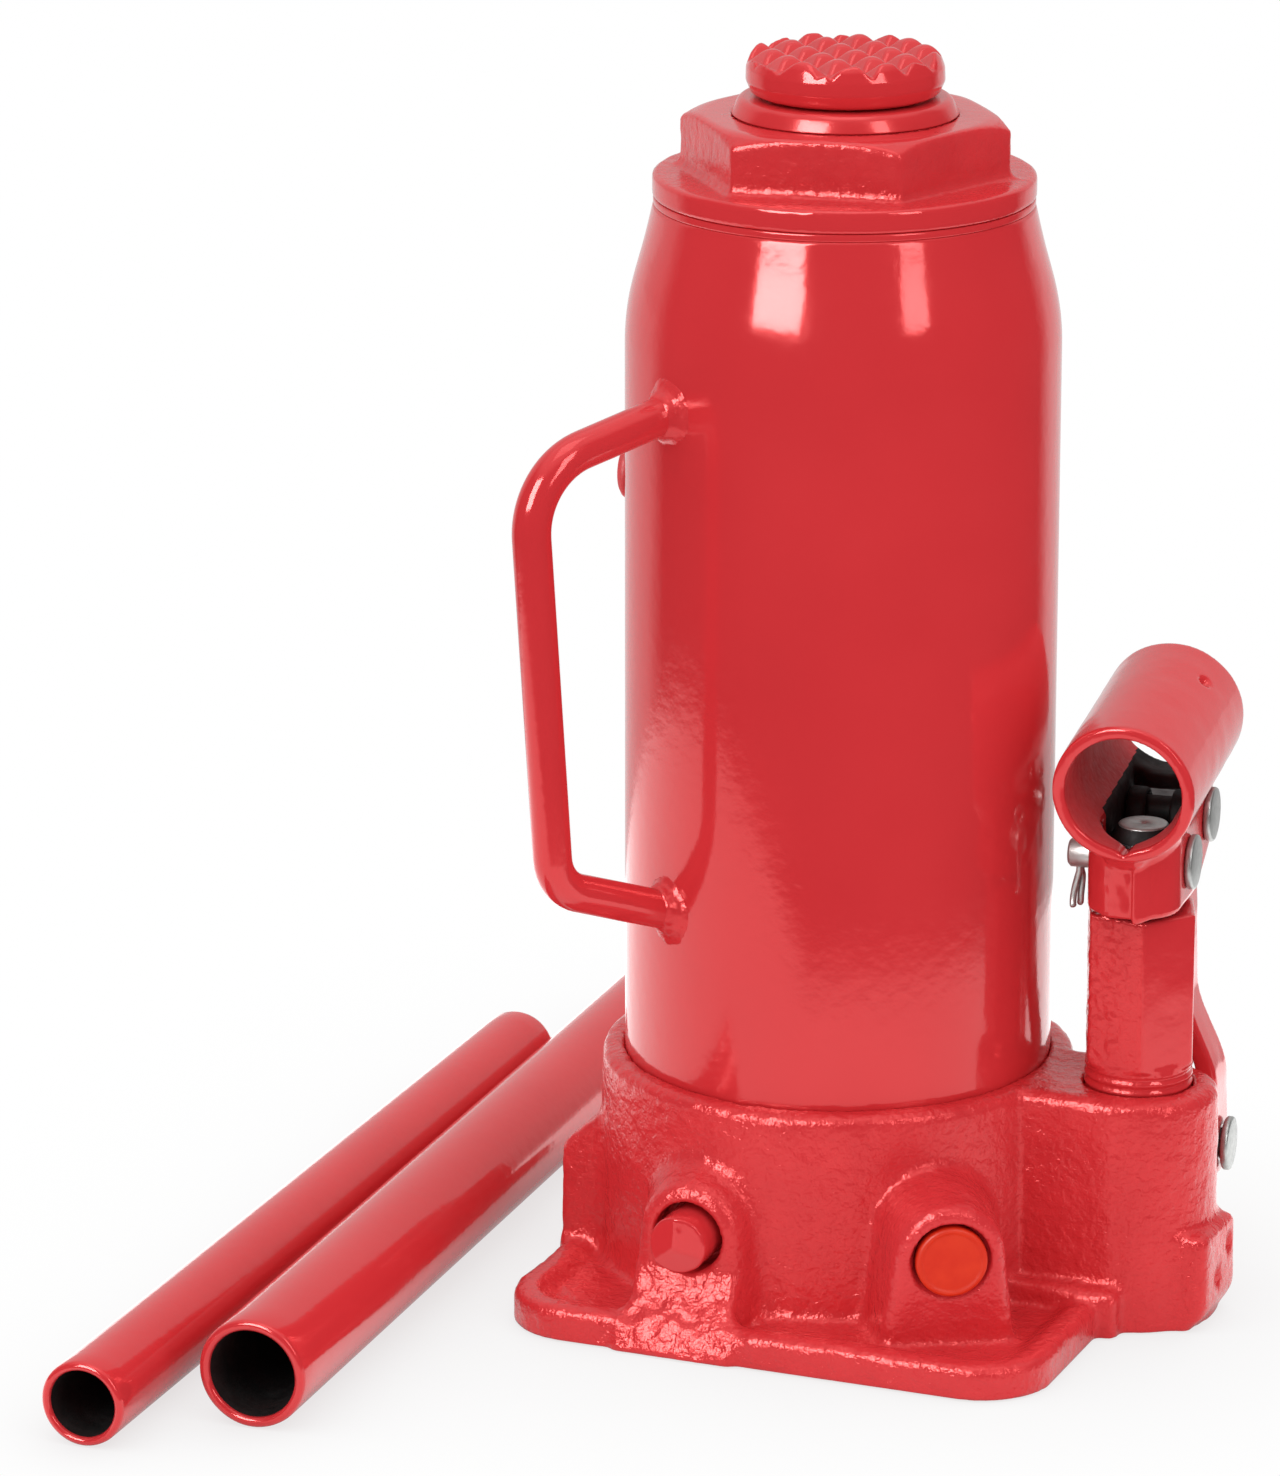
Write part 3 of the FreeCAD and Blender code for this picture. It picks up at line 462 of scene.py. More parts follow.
class Nodes(Tree):
    """A material's node tree around one Principled shader."""

    def __init__(self, name):
        self.material = bpy.data.materials.new(name)
        self.material.use_nodes = True
        super().__init__(self.material.node_tree)
        self.output = self.add("OutputMaterial")
        self.shader = self.add("BsdfPrincipled")
        self.link(self.shader.outputs[0], self.output.inputs[0])
        self.place = self.add("TexCoord").outputs["Object"]

    def noise(self, scale, detail=3.0, stretch=(1, 1, 1), rough=0.55):
        mapping = self.add("Mapping")
        self.link(self.place, mapping.inputs["Vector"])
        mapping.inputs["Scale"].default_value = stretch
        node = self.add("TexNoise")
        self.link(mapping.outputs[0], node.inputs["Vector"])
        for key, value in (("Scale", scale), ("Detail", detail), ("Roughness", rough)):
            node.inputs[key].default_value = value
        return node.outputs["Fac"]

    def grain(self, scale, detail, low, high):
        """Noise spread from low to high."""
        return self.span(self.noise(scale, detail), 0.3, 0.7, low, high)

    def mix(self, factor, a, b):
        node = self.add("Mix", data_type="RGBA")
        self.put(node.inputs[0], factor)
        for k, colour in ((6, a), (7, b)):
            self.put(node.inputs[k], (*colour, 1.0) if isinstance(colour, tuple) else colour)
        return node.outputs[2]

    def height(self, value, distance, below=None):
        node = self.add("Bump")
        node.inputs["Strength"].default_value = 1.0
        node.inputs["Distance"].default_value = distance
        self.link(value, node.inputs["Height"])
        if below is not None:
            self.link(below, node.inputs["Normal"])
        return node.outputs[0]

    def set(self, **values):
        names = {
            "colour": "Base Color", "rough": "Roughness", "metal": "Metallic", "normal": "Normal",
            "coat": "Coat Weight", "coat_rough": "Coat Roughness", "coat_normal": "Coat Normal",
            "specular": "Specular IOR Level", "tint": "Specular Tint",
        }
        for key, value in values.items():
            if isinstance(value, tuple):
                value = (*value, 1.0)
            self.put(self.shader.inputs[names[key]], value)
        return self.material


RED_DEEP = (0.60, 0.031, 0.037)
RED_MID = (0.65, 0.036, 0.042)
RED_GLOSS = (1.0, 0.22, 0.21)


def enamel_over(m, metal_below=None):
    """Glossy red enamel on smooth steel. metal_below is the height in metres under which the steel is bare."""
    tone = m.noise(22, 2)
    peel = m.noise(330, 2)
    colour = m.mix(m.span(tone, 0.3, 0.7, 0, 1), RED_DEEP, RED_MID)
    rough = m.grain(60, 4, 0.08, 0.15)
    normal = m.height(m.noise(2600, 2), 0.000004, m.height(peel, 0.00005))
    m.set(colour=colour, rough=rough, normal=normal, coat=0.15, coat_rough=0.05, specular=1.0, tint=RED_GLOSS)
    if metal_below is None:
        return m.material
    split = m.add("SeparateXYZ")
    m.link(m.place, split.inputs[0])
    edge = m.math("ADD", split.outputs[2], m.span(m.noise(500, 2), 0, 1, -0.0004, 0.0004))
    painted = m.span(edge, metal_below - 0.0002, metal_below + 0.0002, 0, 1)
    steel = m.mix(m.noise(90, 4), (0.52, 0.52, 0.53), (0.66, 0.66, 0.66))
    m.set(
        colour=m.mix(painted, steel, colour),
        metal=m.math("SUBTRACT", 1.0, painted),
        rough=m.math("MULTIPLY_ADD", painted, -0.05, 0.25),
        coat=m.math("MULTIPLY", painted, 0.15),
        tint=m.mix(painted, (1.0, 1.0, 1.0), RED_GLOSS),
    )
    return m.material


def cast_enamel(name, grain, roughness):
    """Red enamel flowed over sand-cast or forged skin."""
    m = Nodes(name)
    sand = m.noise(900, 4, rough=0.65)
    skin = m.noise(330, 3)
    flow = m.span(m.noise(560, 2), 0.42, 0.60, 0, 1)
    tone = m.span(m.noise(90, 3), 0.36, 0.64, 0, 1)
    colour = m.mix(tone, RED_DEEP, RED_MID)
    rough = m.grain(420, 3, roughness, roughness + 0.10)
    normal = m.height(flow, 0.00008 * grain, m.height(skin, 0.00024 * grain, m.height(sand, 0.00014 * grain)))
    return m.set(colour=colour, rough=rough, normal=normal, specular=1.0, tint=RED_GLOSS)


def zinc_plate():
    m = Nodes("zinc_plate")
    tone = m.noise(700, 4)
    colour = m.mix(m.span(tone, 0.3, 0.7, 0, 1), (0.38, 0.385, 0.375), (0.47, 0.475, 0.46))
    rough = m.grain(1500, 3, 0.34, 0.48)
    return m.set(colour=colour, metal=0.75, rough=rough, normal=m.height(m.noise(1800, 3), 0.00002))


def ground_steel(name, stretch, tint=(0.60, 0.60, 0.61)):
    """Bare machined steel with fine tool marks along the stretched direction."""
    m = Nodes(name)
    marks = m.noise(900, 2, stretch)
    shade = m.grain(70, 3, 0.86, 1.04)
    node = m.add("HueSaturation")
    m.put(node.inputs["Color"], (*tint, 1.0))
    m.link(shade, node.inputs["Value"])
    rough = m.span(marks, 0.3, 0.7, 0.20, 0.34)
    return m.set(colour=node.outputs[0], metal=1.0, rough=rough, normal=m.height(marks, 0.000015))


def rubber(name, colour):
    m = Nodes(name)
    second = tuple(c * 1.5 + 0.004 for c in colour)
    blend = m.mix(m.noise(400, 3), colour, second)
    return m.set(colour=blend, rough=m.grain(900, 3, 0.5, 0.7), normal=m.height(m.noise(1600, 3), 0.00003))


def orange_cap():
    """Moulded orange plastic with fine swirl lines."""
    m = Nodes("orange_plastic")
    colour = m.mix(m.grain(260, 3, 0, 1), (0.66, 0.022, 0.004), (0.72, 0.034, 0.007))
    rough = m.grain(900, 3, 0.34, 0.48)
    return m.set(colour=colour, rough=rough, normal=m.height(m.noise(1100, 3), 0.00003), specular=0.2)


def copper():
    m = Nodes("copper_washer")
    colour = m.mix(m.noise(500, 3), (0.66, 0.30, 0.18), (0.82, 0.42, 0.27))
    rough = m.grain(900, 3, 0.25, 0.42)
    return m.set(colour=colour, metal=1.0, rough=rough, normal=m.height(m.noise(1500, 3), 0.00002))


def painted_shade_black():
    """Near-black painted shade for the insides of tubes, the socket's channel and parts between its cheeks, with a
    faint random tone.
    """
    m = Nodes("painted_shade_black")
    colour = m.mix(m.span(m.noise(120, 4), 0.35, 0.65, 0, 1), (0.008, 0.005, 0.005), (0.024, 0.008, 0.008))
    rough = m.grain(500, 3, 0.55, 0.75)
    return m.set(colour=colour, rough=rough, normal=m.height(m.noise(900, 4), 0.00006), specular=0.2)


def dull_enamel():
    """Thin, dry overspray inside the socket."""
    m = Nodes("thin_overspray")
    tone = m.span(m.noise(260, 5), 0.35, 0.65, 0, 1)
    colour = m.mix(tone, (0.56, 0.030, 0.036), (0.64, 0.038, 0.044))
    rough = m.grain(700, 3, 0.5, 0.7)
    return m.set(colour=colour, rough=rough, normal=m.height(m.noise(900, 4), 0.00012), specular=0.3)


DULL = dull_enamel()
RED = enamel_over(Nodes("red_enamel"))
CAST = cast_enamel("cast_red_enamel", 1.0, 0.14)
FORGED = cast_enamel("forged_red_enamel", 0.45, 0.15)
ZINC = zinc_plate()
STEEL = ground_steel("machined_steel", (1, 1, 14))
HONED = ground_steel("honed_steel", (1, 1, 9), (0.50, 0.50, 0.51))
SEAL = rubber("seal_rubber", (0.012, 0.012, 0.013))
BEARING = rubber("bearing_plastic", (0.10, 0.11, 0.09))
RED_RUBBER = rubber("red_rubber", (0.48, 0.016, 0.020))
ORANGE = orange_cap()
COPPER = copper()
# Painted shade: near-black colour put on faces that sit in shadow.
PAINTED_SHADE = painted_shade_black()


def finish(obj, material, body, slot, *nodes):
    """Gives a piece its material and its body and hides the CAD nodes it stands for. The slot argument is not used."""
    obj.data.materials.clear()
    obj.data.materials.append(material)
    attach(obj, body)
    if nodes:
        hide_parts(*nodes)
    return obj


def second_material(obj, material, chosen):
    """Gives the faces whose centres (in millimetres) pass a test another material."""
    obj.data.materials.append(material)
    count = len(obj.data.polygons)
    centres = np.empty(count * 3)
    indices = np.zeros(count, np.int32)
    obj.data.polygons.foreach_get("center", centres)
    obj.data.polygons.foreach_get("material_index", indices)
    picked = chosen(*(centres.reshape(-1, 3).T / MM))
    indices[picked] = len(obj.data.materials) - 1
    obj.data.polygons.foreach_set("material_index", indices)


def hexagon_field(x, y, half, degrees, turn, edge):
    """Hexagonal prism. degrees is the angle its first flat faces, in axes turned by turn."""
    solid = None
    for k in range(6):
        a = math.radians(degrees + 60 * k) - turn
        face = x * math.cos(a) + y * math.sin(a) - half
        solid = face if solid is None else smooth_max(solid, face, edge)
    return solid


# ---- foot casting ----
def arch_field(across, back, z, high, radius, drafts, flare, rear):
    """Tombstone boss with its face at back = 0, whose left side, right side and top widen to the rear."""
    run = np.clip(back, 0, 18)
    left, right, top = drafts
    draft = np.where(across < 0, left, right)
    leg = np.abs(across) - (radius + draft * run + flare * np.clip((high - z) / high, 0, 1))
    reach = np.hypot(across, z - high)
    share = np.abs(across) / np.maximum(reach, 1e-6)
    around = reach - (radius + (draft * share + top * (1 - share)) * run)
    profile = np.where(z > high, around, leg)
    return smooth_max(smooth_max(profile, -back, 2.8), back - rear, 1.0)


def foot_field(x, y, z):
    """Rounded plate with a shallow dish inside its rim, and a ramp through the rim below the release valve."""
    middle = sum(FOOT_X) / 2
    outline = rounded_rectangle(x - middle, y, FOOT_X[1] - middle, FOOT_HALF_Y, FOOT_CORNER)
    inset = np.clip((-outline - 3.6) / 4.6, 0, 1)
    foot = smooth_max(outline, z - FOOT_THICK + FOOT_DISH * inset * inset * (3 - 2 * inset), 2.4)
    aside = np.abs(x - RELEASE_X)
    slope = ((z - 13.4) * 7.6 - (y + 50.0) * 11.4) / 13.7
    ramp = smooth_max(aside - 12.6, -slope, 5.0)
    foot = smooth_max(foot, -ramp, 3.0)
    apron = smooth_max(aside - 9.3 - np.clip((13.4 - z) * 0.16, 0, 1.8), slope, 1.2)
    apron = smooth_max(smooth_max(apron, -58.3 - y, 1.6), z - 13.4, 1.0)
    apron = smooth_max(apron, y + 30.0, 1.0)
    groove = np.sqrt((x - 1.5) ** 2 + ((y + 48.4) * 0.4) ** 2 + ((z - 5.2) * 0.8) ** 2) - 1.3
    return smooth_max(smooth_min(foot, apron, 2.6), -groove, 0.8)


def casting_field(x, y, z, axes):
    foot = foot_field(x, y, z)
    collar = smooth_max(np.hypot(x, y) - COLLAR_R + COLLAR_TAPER * z, z - COLLAR_TOP, 2.6)
    boss = np.hypot(x - PUMP_X, y) - PUMP_BOSS_R - 0.6 + 0.014 * z
    web = smooth_max(slab(y, -PUMP_BOSS_R - 0.2, 12.3), slab(x, 10.0, PUMP_X), 1.0)
    boss = smooth_max(smooth_min(boss, web, 1.6), z - COLLAR_TOP, 2.8)
    ledge = box_field(x, y, z, ((34.0, 61.0), (-19.0, 16.0), (-5.0, 8.8)), 2.0)
    shoulder = 25.6 + np.clip((x + 45.4) / 8.4, 0, 1) * 7.0
    block = smooth_max(slab(x, BLOCK_X, 0.0), slab(y, -BLOCK_HALF_Y, BLOCK_HALF_Y), 1.4)
    block = smooth_max(block, z - shoulder, 2.0)
    pad = box_field(x, y, z, ((PUMP_X - 6, CASTING_HIGH[0]), (-10.4, 8.0), (-5.0, 18.5)), 2.4)
    pad = smooth_max(pad, (x - CASTING_HIGH[0] - z + 3.4) * 0.7, 1.6)
    for dent_y, dent_z in ((4.0, 13.2), (-2.4, 8.6)):
        dent = np.sqrt((x - CASTING_HIGH[0] - 0.6) ** 2 + (y - dent_y) ** 2 * 0.8 + (z - dent_z) ** 2 * 0.45) - 1.7
        pad = smooth_max(pad, -dent, 0.8)
    across, back = turned_plan(x, y, (PUMP_X, 0), PUMP_YAW)
    lug = np.minimum(
        np.hypot(back - LOWER_PIN[1], z - LOWER_PIN[2]) - LUG_R,
        smooth_max(slab(back, 0.0, LOWER_PIN[1]), np.abs(z - LOWER_PIN[2]) - LUG_R, 0.5),
    )
    lug = smooth_max(lug, np.abs(across) - LUG_HALF, 1.0)
    valve_arch = arch_field(
        x - RELEASE_X, y - RELEASE_FACE_Y, z, RELEASE_Z, RELEASE_ARCH_R, (0.26, 0.34, 0.40), 1.9, 38.0
    )
    across, back = turned_plan(x, y, RELIEF_FACE, RELIEF_TURN)
    lean = back + 0.12 * (z - RELIEF_FACE.z)
    relief_arch = arch_field(across, lean, z, RELIEF_FACE.z, RELIEF_ARCH_R, (0.09, 0.05, 0.08), 2.6, 38.0)
    solid = smooth_min(foot, collar, 3.0)
    joined = (
        (boss, 0.9), (ledge, 1.8), (block, 2.2), (pad, 1.6), (lug, 1.5), (valve_arch, 2.4), (relief_arch, 2.2)
    )
    for piece, fillet in joined:
        solid = smooth_min(solid, piece, fillet)
    skin = 0.08 * lattice_noise(axes, 2.4, 11) + 0.16 * lattice_noise(axes, 9.0, 12)
    skin = skin + 0.06 * lattice_noise(axes, 1.3, 13)
    near_apron = np.clip((-49.0 - y) / 3, 0, 1) * np.clip((15.0 - z) / 4, 0, 1)
    near_apron = near_apron * np.exp(-((x - RELEASE_X) / 11.5) ** 4)
    lumps = 0.26 * lattice_noise(axes, 1.9, 14) + 0.22 * lattice_noise(axes, 1.2, 15)
    solid = solid + (skin + near_apron * lumps) * np.clip(z / 1.5, 0, 1)
    solid = smooth_max(solid, TUBE_R + 0.02 - np.hypot(x, y) - np.where(z > 36.0, 0.0, 90.0), 0.5)
    release_reach = np.hypot(x - RELEASE_X, z - RELEASE_Z)
    relief_reach = np.hypot(across, z - RELIEF_FACE.z)
    for bore in (
        np.maximum(np.hypot(x - PUMP_X, y) - PUMP_BORE_R, 20.0 - z),
        np.maximum(release_reach - RELEASE_BORE_R, y - VALVE_BORE_END),
        np.maximum(relief_reach - 7.2, back - 1.6),
        np.maximum(relief_reach - 6.35, back - 6.2),
    ):
        solid = smooth_max(solid, -bore, 0.6)
    return np.maximum(solid, -z)


casting = field_object(
    "foot_casting", (-48.2, -60.8, -0.9), (78.4, 60.0, 45.4), 0.62, casting_field
)
thinned(casting, 190000)
finish(casting, CAST, "base", "red_casting", "base_casting")


# ---- reservoir ----
neck = curve_through([
    (39.3, 176.6), (39.25, 178.6), (39.0, 181.6), (38.55, 184.6), (37.9, 187.6), (37.0, 190.9), (36.1, 194.1),
    (35.3, 197.3), (34.4, 201.2),
])
outer = np.vstack([[(TUBE_R, z) for z in np.linspace(36.4, 175.0, 24)], neck, [(34.25, 201.75), (34.0, 201.9)]])
inner = outer[::-1].copy()
inner[:, 0] -= 2.9
reservoir = lathe("reservoir", np.vstack([outer, inner]), 160)
lip_corners = [(30.1, 201.9), (34.25, 201.9), (34.25, 203.25), (30.1, 203.25)]
lip = lathe("neck_lip", rounded_outline(lip_corners, 0.35, 3), 128)
finish(lip, RED, "base", "red_paint", "reservoir_top_gasket")
filler_middle = sum(box_mm("oil_filler_plug")) / 2
FILLER = (
    Matrix.Rotation(math.atan2(filler_middle[1], filler_middle[0]), 4, "Z")
    @ Matrix.Translation((TUBE_R, 0, filler_middle[2]))
    @ Matrix.Rotation(math.pi / 2, 4, "Y")
)
bored(reservoir, lathe_solid("filler_bore", [(0, -8), (4.1, -8), (4.1, 6), (0, 6)], 40, FILLER))
finish(reservoir, RED, "base", "red_paint", "reservoir_tube")

filler = lathe_solid(
    "filler_plug",
    [(0, -8.6), (3.4, -8.6), (3.9, -7.6), (3.75, -3.4), (3.95, -2.8), (3.95, 0.05), (5.0, 0.1), (5.2, 0.35),
     (5.2, 0.9), (4.8, 1.5), (4.0, 2.0), (2.4, 2.45), (0, 2.6)],
    40, FILLER,
)
finish(filler, RED_RUBBER, "filler_plug", "red_rubber", "oil_filler_plug")


# ---- top nut ----
NUT_HEX_HALF = 26.15
NUT_HEX_DEGREES = -50.8 + 30
FLANGE_R = 34.4
FLANGE_Z = (203.2, 207.5)
RAM_BORE_R = 19.87


def nut_field(x, y, z, axes):
    radius = np.hypot(x, y)
    hexa = hexagon_field(x, y, NUT_HEX_HALF, NUT_HEX_DEGREES, 0.0, 0.5)
    crown = ((z - NUT_HIGH[2]) + 0.55 * (radius - 26.7)) / 1.14
    hexa = smooth_max(smooth_max(hexa, crown, 0.8), z - NUT_HIGH[2], 0.8)
    rough = 0.03 * lattice_noise(axes, 1.9, 21) + 0.06 * lattice_noise(axes, 1.0, 22)
    rough = rough + 0.07 * lattice_noise(axes, 6.0, 23)
    hexa = hexa + rough * np.clip((NUT_HIGH[2] - 0.9 - z) / 1.0, 0.05, 1) * np.clip((z - 206.0) / 2, 0, 1)
    flange = smooth_max(radius - FLANGE_R, slab(z, *FLANGE_Z), 0.9)
    flange = flange + 0.05 * lattice_noise(axes, 2.4, 24) * np.clip((z - 206.8) / 0.8, 0, 1)
    solid = smooth_min(hexa, flange, 2.2)
    solid = np.minimum(solid, np.maximum(radius - 30.0, slab(z, NUT_LOW[2], 205.0)))
    hollow = np.where(z < 199.5, 27.05, RAM_BORE_R)
    return smooth_max(solid, hollow - radius, 0.25)


nut = field_object(
    "top_nut_forged", (-35.6, -35.6, NUT_LOW[2] - 0.9), (35.6, 35.6, NUT_HIGH[2] + 0.9), 0.5, nut_field
)
thinned(nut, 110000)
finish(nut, FORGED, "base", "red_paint", "top_nut")
second_material(nut, RED, lambda x, y, z: (z < 207.4) | (z > NUT_HIGH[2] - 0.5))


# ---- ram and extension screw ----
ram_outline = rounded_outline(
    [(14.5, 100.2), (14.5, 190.0), (13.15, 190.0), (13.15, RAM_HIGH[2]), (18.4, RAM_HIGH[2]),
     (19.2, RAM_HIGH[2] - 0.6), (20.4, NUT_HIGH[2] + 0.12), (19.8, NUT_HIGH[2] + 0.1), (19.8, 36.2), (22.4, 36.0),
     (22.4, 33.1), (19.2, 33.0), (19.2, 27.4), (22.4, 27.4), (22.4, 24.1), (19.2, 24.1), (19.2, 17.4), (22.4, 17.4),
     (22.4, 14.0), (21.4, 13.0), (0.4, 13.0), (0.4, 100.2)],
    0.5, 3,
)
ram = lathe("ram_rod", ram_outline[::-1], 128)
RAM_PAINT = enamel_over(Nodes("ram_enamel_and_steel"), (NUT_HIGH[2] - 1.2) * MM)
finish(ram, RAM_PAINT, "ram", "red_paint", "ram")


TOOTH_PITCH = 6.65
TOOTH_DEPTH = 2.6
SADDLE_SIDE = (
    (221.7, 222.3, 224.3, 226.6, 228.4, 229.6, 230.2),
    (16.2, 17.0, 17.8, 17.7, 17.1, 16.3, 15.6),
)


def tooth_depth(run):
    """0 on a tooth's crest and 1 in the groove, for a distance across the grooves from one of them."""
    share = np.abs(run / TOOTH_PITCH - np.floor(run / TOOTH_PITCH) - 0.5) * 2
    return np.where(share < 0.5, share * share, share - 0.25) / 0.75


def saddle_field(x, y, z, axes):
    radius = np.hypot(x, y)
    u, v = turned_plan(x, y, (0, 0), math.radians(45.0))
    groove = smooth_max(tooth_depth(u + 2.6), tooth_depth(v - 0.3), 0.3)
    top = SCREW_HIGH[2] + 0.1 - TOOTH_DEPTH * groove
    barrel = radius - np.interp(z.ravel(), *SADDLE_SIDE).reshape(z.shape)
    solid = smooth_max(barrel, (z - top) * 0.80, 0.5)
    solid = smooth_max(solid, 221.6 - z, 0.6)
    return solid + 0.03 * lattice_noise(axes, 1.8, 31)


saddle = field_object("saddle", (-18.8, -18.8, 220.9), (18.8, 18.8, 231.0), 0.33, saddle_field)
thinned(saddle, 60000)
finish(saddle, RED, "screw", "red_paint", "extension_screw")


def threaded_rod(name, radius, low, high, pitch, depth, segments=64):
    """Upright rod with one helical thread that fades out at both ends."""
    rows = int((high - low) / (pitch / 8))
    heights = np.linspace(low, high, rows + 1)
    angles = np.linspace(0, 2 * math.pi, segments, endpoint=False)
    verts = []
    for z in heights:
        fade = min(1.0, (z - low) / pitch, (high - z) / pitch)
        phase = (z / pitch - angles / (2 * math.pi)) % 1.0
        ridge = np.clip(np.abs(phase - 0.5) * 4 - 0.5, 0, 1)
        r = radius - depth * ridge * max(fade, 0.0)
        verts += [(rr * math.cos(t), rr * math.sin(t), z) for rr, t in zip(r, angles)]
    return make_object(name, *capped(verts, len(heights), segments, (0, 0, low), (0, 0, high)))


shank = threaded_rod("screw_shank", 13.0, SCREW_LOW[2] + 5.0, 219.0, 4.0, 1.1)
finish(shank, STEEL, "screw", "machined_steel")
neck_rod = lathe_solid("screw_neck", [(0, 218.5), (12.6, 218.5), (12.95, 219.0), (12.95, 222.6), (0, 222.6)], 64)
finish(neck_rod, RAM_PAINT, "screw", "red_paint")
tail = lathe_solid(
    "screw_tail",
    [(0, SCREW_LOW[2]), (11.6, SCREW_LOW[2]), (12.9, SCREW_LOW[2] + 1.0), (12.9, 107.9), (11.5, 108.1), (11.5, 109.9),
     (12.9, 110.1), (12.9, 111.2), (0, 111.2)],
    64,
)
finish(tail, STEEL, "screw", "machined_steel")


# ---- pump ----
BARREL_HEX_HALF = 9.5
BARREL_HEX_DEGREES = -70.0 + 30
BARREL_HEX_FOOT = 47.6


def barrel_field(x, y, z, axes):
    radius = np.hypot(x, y)
    hexa = hexagon_field(x, y, BARREL_HEX_HALF, BARREL_HEX_DEGREES, PUMP_YAW, 0.45)
    hexa = smooth_max(hexa, (radius - 9.9 - (z - BARREL_HEX_FOOT) * 0.8) * 0.78, 0.4)
    hexa = smooth_max(hexa, slab(z, BARREL_HEX_FOOT, BARREL_HIGH[2]), 0.7)
    pits = lattice_noise(axes, 1.0, 41)
    uneven = 0.17 * pits * np.clip(0.3 - x / 5, 0.0, 1) + 0.04 * lattice_noise(axes, 5.0, 42)
    hexa = hexa + uneven * np.clip((z - 48.5) / 2, 0, 1)
    phase = ((z - 42.3) / 1.7) % 1.0
    ridge = 0.6 * (0.5 + 0.5 * np.cos(2 * math.pi * phase)) ** 0.8
    neck_rod = smooth_max(radius - 9.35 - np.where(z < 47.2, ridge, 0.3), slab(z, BARREL_LOW[2], 48.5), 0.4)
    return smooth_max(smooth_min(hexa, neck_rod, 0.5), 6.06 - radius, 0.5)


barrel = field_object(
    "pump_barrel", (-11.9, -11.9, BARREL_LOW[2] - 0.8), (11.9, 11.9, BARREL_HIGH[2] + 0.8), 0.42,
    barrel_field, PUMP_FRAME,
)
thinned(barrel, 80000)
finish(barrel, FORGED, "base", "red_paint", "pump_cylinder")
second_material(barrel, RED, lambda x, y, z: turned_plan(x, y, (PUMP_X, 0), PUMP_YAW)[0] > 2.6)

plunger = lathe_solid(
    "plunger_rod",
    [(0, PLUNGER_LOW[2]), (5.3, PLUNGER_LOW[2]), (6.0, PLUNGER_LOW[2] + 0.8), (6.0, 89.9), (5.9, 90.2), (4.55, 92.3),
     (4.4, PLUNGER_HIGH[2] - 0.05), (4.2, PLUNGER_HIGH[2]), (0.8, PLUNGER_HIGH[2]), (0.35, PLUNGER_HIGH[2] - 0.35),
     (0, PLUNGER_HIGH[2] - 0.4)],
    64, PUMP_FRAME,
)
finish(plunger, HONED, "plunger", "machined_steel", "pump_plunger")
# Painted shade: the crown under the top disc is coloured near black.
second_material(plunger, PAINTED_SHADE, lambda x, y, z: (z > 80.0) & (z < 92.3))
second_material(plunger, ZINC, lambda x, y, z: z > 92.3)


# ---- handle socket, in the pump's frame ----
SOCKET_FRONT = np.array((0, -18.6, 102.9))
SOCKET_REAR = np.array((0, 25.6, 107.0))
SOCKET_ALONG = (SOCKET_REAR - SOCKET_FRONT) / np.linalg.norm(SOCKET_REAR - SOCKET_FRONT)
SOCKET_LENGTH = np.linalg.norm(SOCKET_REAR - SOCKET_FRONT)
SOCKET_R = 12.9
SOCKET_BORE_R = 10.62
CHEEK_HALF = 8.5
CHEEK_FOOT = 78.6
CHANNEL_HALF = 6.1
CHANNEL_FRONT_Y = -6.2
CHANNEL_ROOF = 91.4
LINK_TOP = (15.0, 90.0)
LINK_SWEEP_R = 5.25


def socket_place(y, z):
    """Distance along the socket from its front rim, and height over its axis, for a point of the pump's frame."""
    along = y * SOCKET_ALONG[1] + (z - SOCKET_FRONT[2]) * SOCKET_ALONG[2] - SOCKET_FRONT[1] * SOCKET_ALONG[1]
    over = (z - SOCKET_FRONT[2]) * SOCKET_ALONG[1] - (y - SOCKET_FRONT[1]) * SOCKET_ALONG[2]
    return along, over


def channel_field(x, y, half):
    """Plan of the clevis: two straight cheeks joined by a half-round front."""
    return np.where(y < CHANNEL_FRONT_Y, np.hypot(x, y - CHANNEL_FRONT_Y), np.abs(x)) - half


